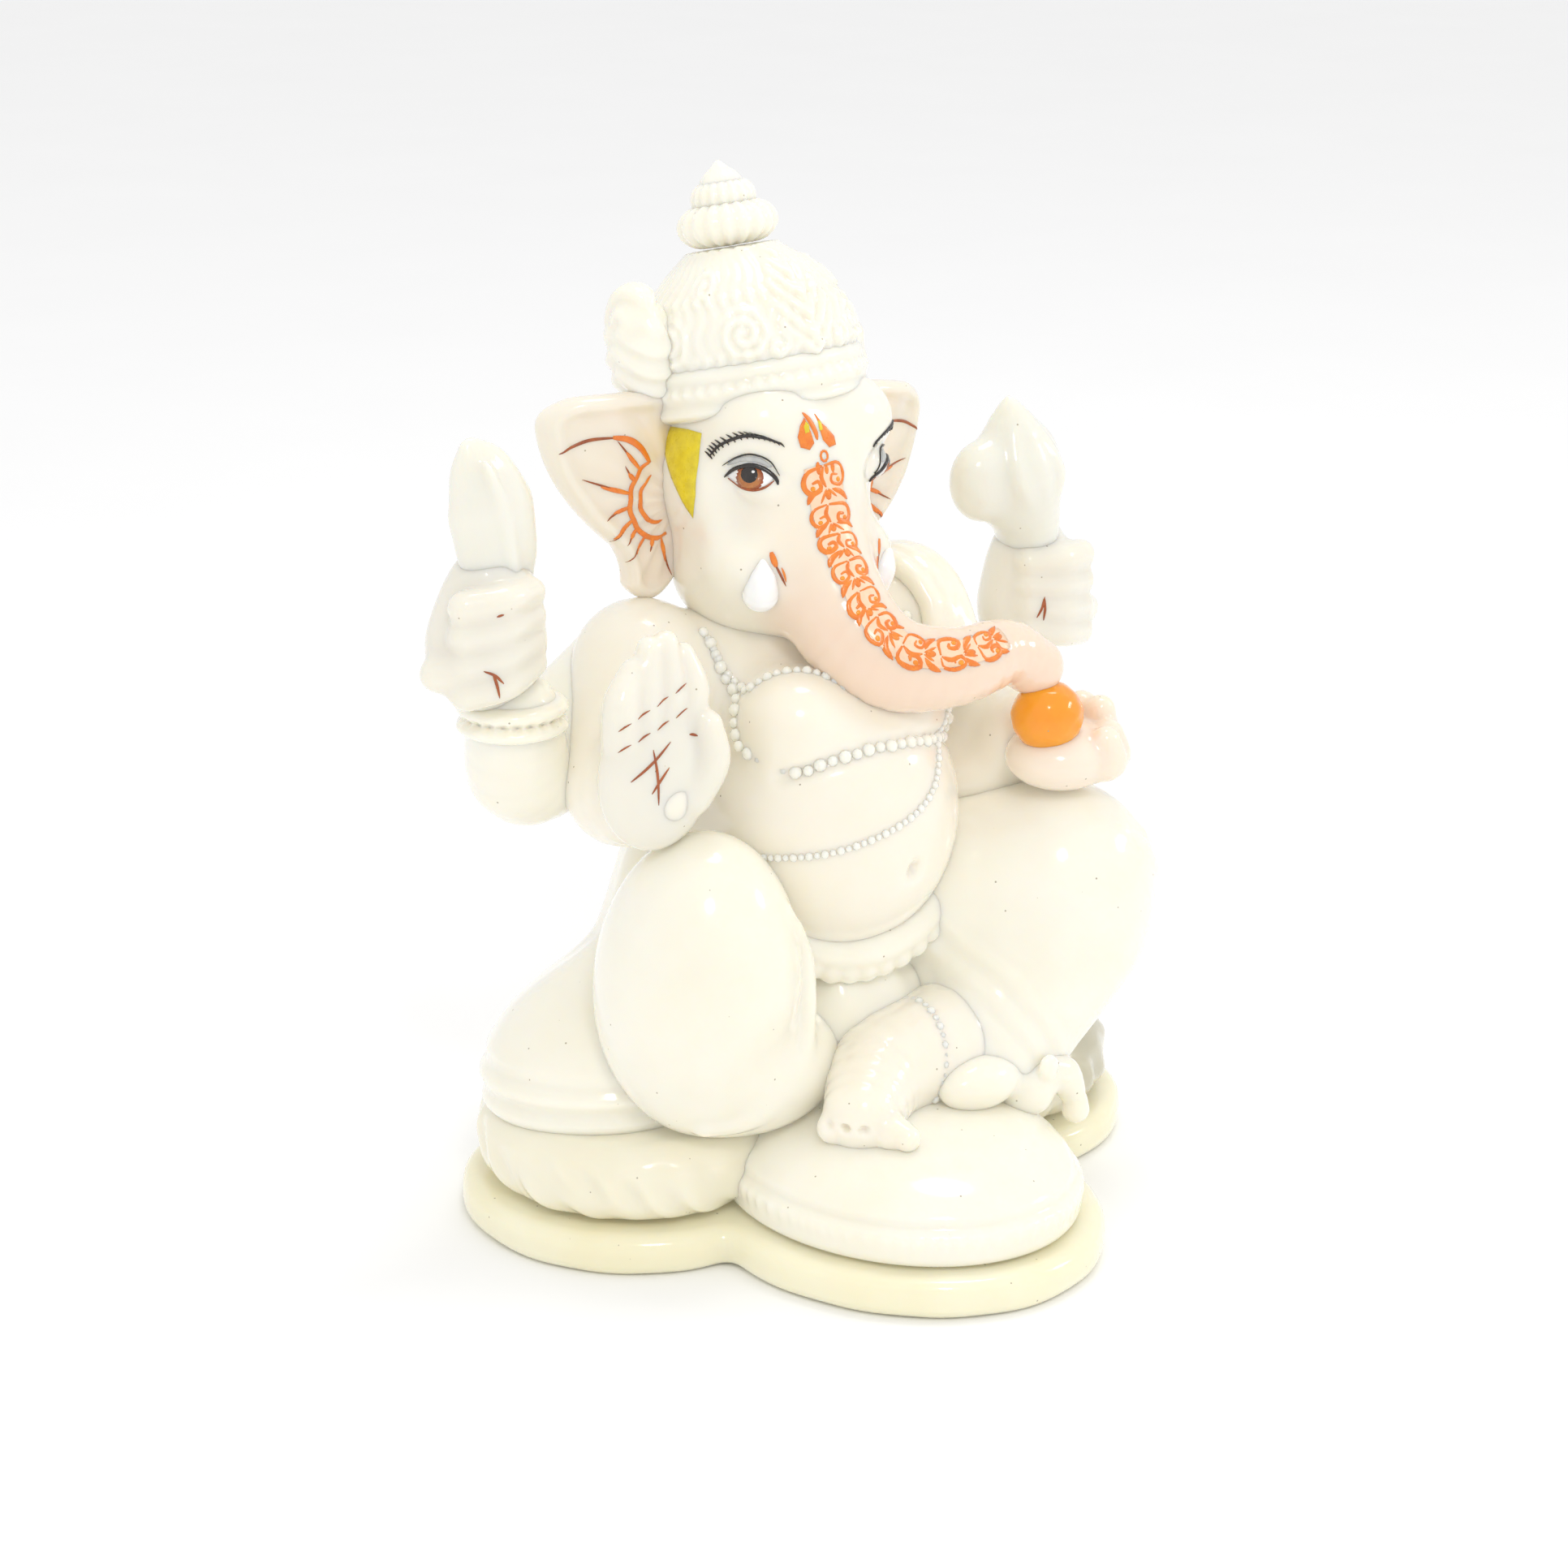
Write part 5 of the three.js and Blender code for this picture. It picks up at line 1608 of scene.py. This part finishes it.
def ear_strokes(skins):
    """Arcs round the ear hole with rays that fan out to the rim."""
    arcs = Brush("ear_arcs", ORANGE, "orange_paint", 0.08)
    rays = Brush("ear_rays", RUST, "orange_paint", 0.07)
    for side, skin in skins:
        easel = Easel(skin, on_head(side * 13.4, -8, -3.3), (0, -1, 0), roll=-HEAD_TILT)
        m = lambda reach, angle: (
            side * reach * math.cos(math.radians(angle)),
            reach * math.sin(math.radians(angle)) * 1.08,
        )
        arcs.stroke(easel, [m(4.5, a) for a in np.linspace(64, -112, 12)], 0.72, ends=0.5)
        arcs.stroke(easel, [m(3.1 - 0.004 * abs(a), a) for a in np.linspace(58, -104, 9)], 0.66, ends=0.2)
        top = [(2.0, 4.2), (3.4, 5.9), (5.2, 7.0), (7.2, 7.3)]
        arcs.stroke(easel, [(side * u, v) for u, v in top], 0.8, ends=0.5)
        rays.stroke(easel, [(side * u, v) for u, v in ((6.4, 7.3), (10.2, 6.9), (13.4, 5.4))], 0.4)
        lengths = (4.6, 2.0, 6.2, 3.4, 5.2, 2.4, 3.6, 1.4, 4.6)
        for i, (angle, length) in enumerate(zip(np.linspace(44, -100, 9), lengths)):
            tip = angle + 8 * math.sin(1.3 * i)
            root = [m(4.4, angle), m(4.6 + length * 0.62, (angle + tip) / 2)]
            arcs.stroke(easel, root, 0.6, ends=0.2)
            rays.stroke(easel, [m(5.0, angle), m(4.6 + length, tip)], 0.26, ends=0.1)
    arcs.finish()
    rays.finish()


def palm_marks(skin):
    """Joint lines across the fingers and crossing lines on the palm."""
    lines = Brush("palm_lines", RUST, "orange_paint", 0.06)
    easel = Easel(skin, at("blessing_hand"), (-0.45, -0.9, 0.1))
    for row, slope in ((4.9, 0.55), (2.2, 0.5)):
        for k in range(4):
            u = -4.2 + 2.3 * k
            v = row + slope * u * 0.9
            lines.stroke(easel, [(u - 0.7, v - 0.5), (u, v), (u + 0.75, v + 0.35)], 0.24)
    for line in (
        ((-3.6, -3.6), (-1.2, -1.8), (1.2, 0.4)),
        ((-0.9, -0.2), (-0.5, -3.2), (-0.4, -6.6)),
        ((0.9, -2.4), (-0.2, -3.8), (-1.2, -5.2)),
        ((3.6, 0.8), (4.1, 0.7), (4.6, 0.5)),
    ):
        lines.stroke(easel, line, 0.34)
    lines.finish()


def rear_hand_marks(skins):
    lines = Brush("rear_hand_lines", RUST, "orange_paint", 0.06)
    for side, skin, node in skins:
        easel = Easel(skin, at(node), (-0.5, -0.86, 0.1))
        if side == RIGHT:
            marks = (
                ((1.2, 3.4), (2.0, 3.6)),
                ((-0.4, -2.6), (0.8, -3.2), (1.8, -4.2)),
                ((0.6, -3.0), (1.0, -4.2), (1.3, -5.8)),
            )
        else:
            marks = (((-1.2, -2.2), (-0.6, -1.0), (-0.2, 0.4)), ((-0.2, 0.2), (-0.2, -1.2), (-0.3, -2.6)))
        for mark in marks:
            lines.stroke(easel, mark, 0.36)
    lines.finish()


# ---------------------------------------------------------------- stage, lights and camera

VIEW_AZIMUTH, VIEW_ELEVATION = -38.0, 17.5
VIEW_DISTANCE = 400.0  # mm
VIEW_AIM = (-13.5, -20.0, 62.0)  # mm: across and behind the torso's middle, and up


def stage():
    bpy.ops.mesh.primitive_plane_add(size=6.0, location=(0, 0, 0))
    floor = bpy.context.object
    floor.name = "floor"
    material, tree, shader = new_material("paper_floor")
    shade = remap(tree, noise(tree, 60.0).outputs["Fac"], 0.3, 0.7)
    base = mix(tree, shade, colour(0.97, 0.97, 0.97), colour(0.98, 0.98, 0.98))
    tree.links.new(base, shader.inputs["Base Color"])
    shader.inputs["Roughness"].default_value = 0.9
    floor.data.materials.append(material)


def area_light(name, place, aim, size, power):
    data = bpy.data.lights.new(name, "AREA")
    data.shape, data.size, data.energy = "DISK", size, power
    light = bpy.data.objects.new(name, data)
    light.location = place
    light.rotation_euler = (Vector(aim) - Vector(place)).to_track_quat("-Z", "Y").to_euler()
    bpy.context.scene.collection.objects.link(light)


def lights_and_camera():
    scene = bpy.context.scene
    scene.view_settings.view_transform = "Standard"
    middle = (CAD_LOW + CAD_HIGH) / 2
    world = bpy.data.worlds.new("studio")
    world.use_nodes = True
    world.node_tree.nodes["Background"].inputs["Color"].default_value = (1, 1, 1, 1)
    world.node_tree.nodes["Background"].inputs["Strength"].default_value = 0.90
    scene.world = world
    area_light("key_light", (-0.25, -0.45, 0.55), middle, 0.13, 0.75)
    area_light("top_light", (0.15, 0.05, 0.70), middle, 0.22, 0.6)
    area_light("side_light", (0.50, -0.30, 0.30), middle, 0.12, 0.3)
    aim = Vector(by_spine(*VIEW_AIM)) * MM
    a, e = math.radians(VIEW_AZIMUTH), math.radians(VIEW_ELEVATION)
    back = Vector((math.sin(a) * math.cos(e), -math.cos(a) * math.cos(e), math.sin(e)))
    data = bpy.data.cameras.new("camera")
    data.lens, data.sensor_width = 81.4, 36.0
    data.shift_x, data.shift_y = 0.003, -0.0316
    data.clip_start = 0.01
    camera = bpy.data.objects.new("camera", data)
    camera.location = aim + back * VIEW_DISTANCE * MM
    camera.rotation_euler = (-back).to_track_quat("-Z", "Y").to_euler()
    scene.collection.objects.link(camera)
    scene.camera = camera


# ---------------------------------------------------------------- the idol

stage()
lights_and_camera()

base_plinth()
seat_cushion()
foot_pad()
body = upper_body()
body_skin = Skin(body)
hip_drape()
belt()
necklaces(body_skin)
shoulder_shawl(body_skin)
head_skin = Skin(head())
ear_skins = [(RIGHT, Skin(ear(RIGHT, "ear_right"))), (LEFT, Skin(ear(LEFT, "ear_left")))]
tusk(RIGHT, "tusk_right")
tusk(LEFT, "tusk_left")
crown()
rosette(RIGHT, "crown_rosette_right")
rosette(LEFT, "crown_rosette_left")
right_leg()
left_leg()
left_foot()
palm = blessing_hand()
bowl_hand()
sweet_laddoo()
raised = []
for side, end in ((RIGHT, "right"), (LEFT, "left")):
    rear_arm(side, "rear_arm_" + end)
    rear_cuff("rear_cuff_" + end)
    raised.append((side, Skin(rear_hand(side, "rear_hand_" + end)), "rear_hand_" + end))
axe_blade()
lotus_bud()
mouse()
wrist_way = at("blessing_hand", 0, 0, -0.6) - at("front_arm_right", -0.33, -0.6, -0.32)
ring_of_beads("bracelet_right", at("front_arm_right", -0.38, -0.72, -0.42), wrist_way, 6.0, 0.7)

eyes(head_skin)
forehead(head_skin)
trunk_scroll(head_skin)
mouth_marks(head_skin)
ear_strokes(ear_skins)
palm_marks(Skin(palm))
rear_hand_marks(raised)
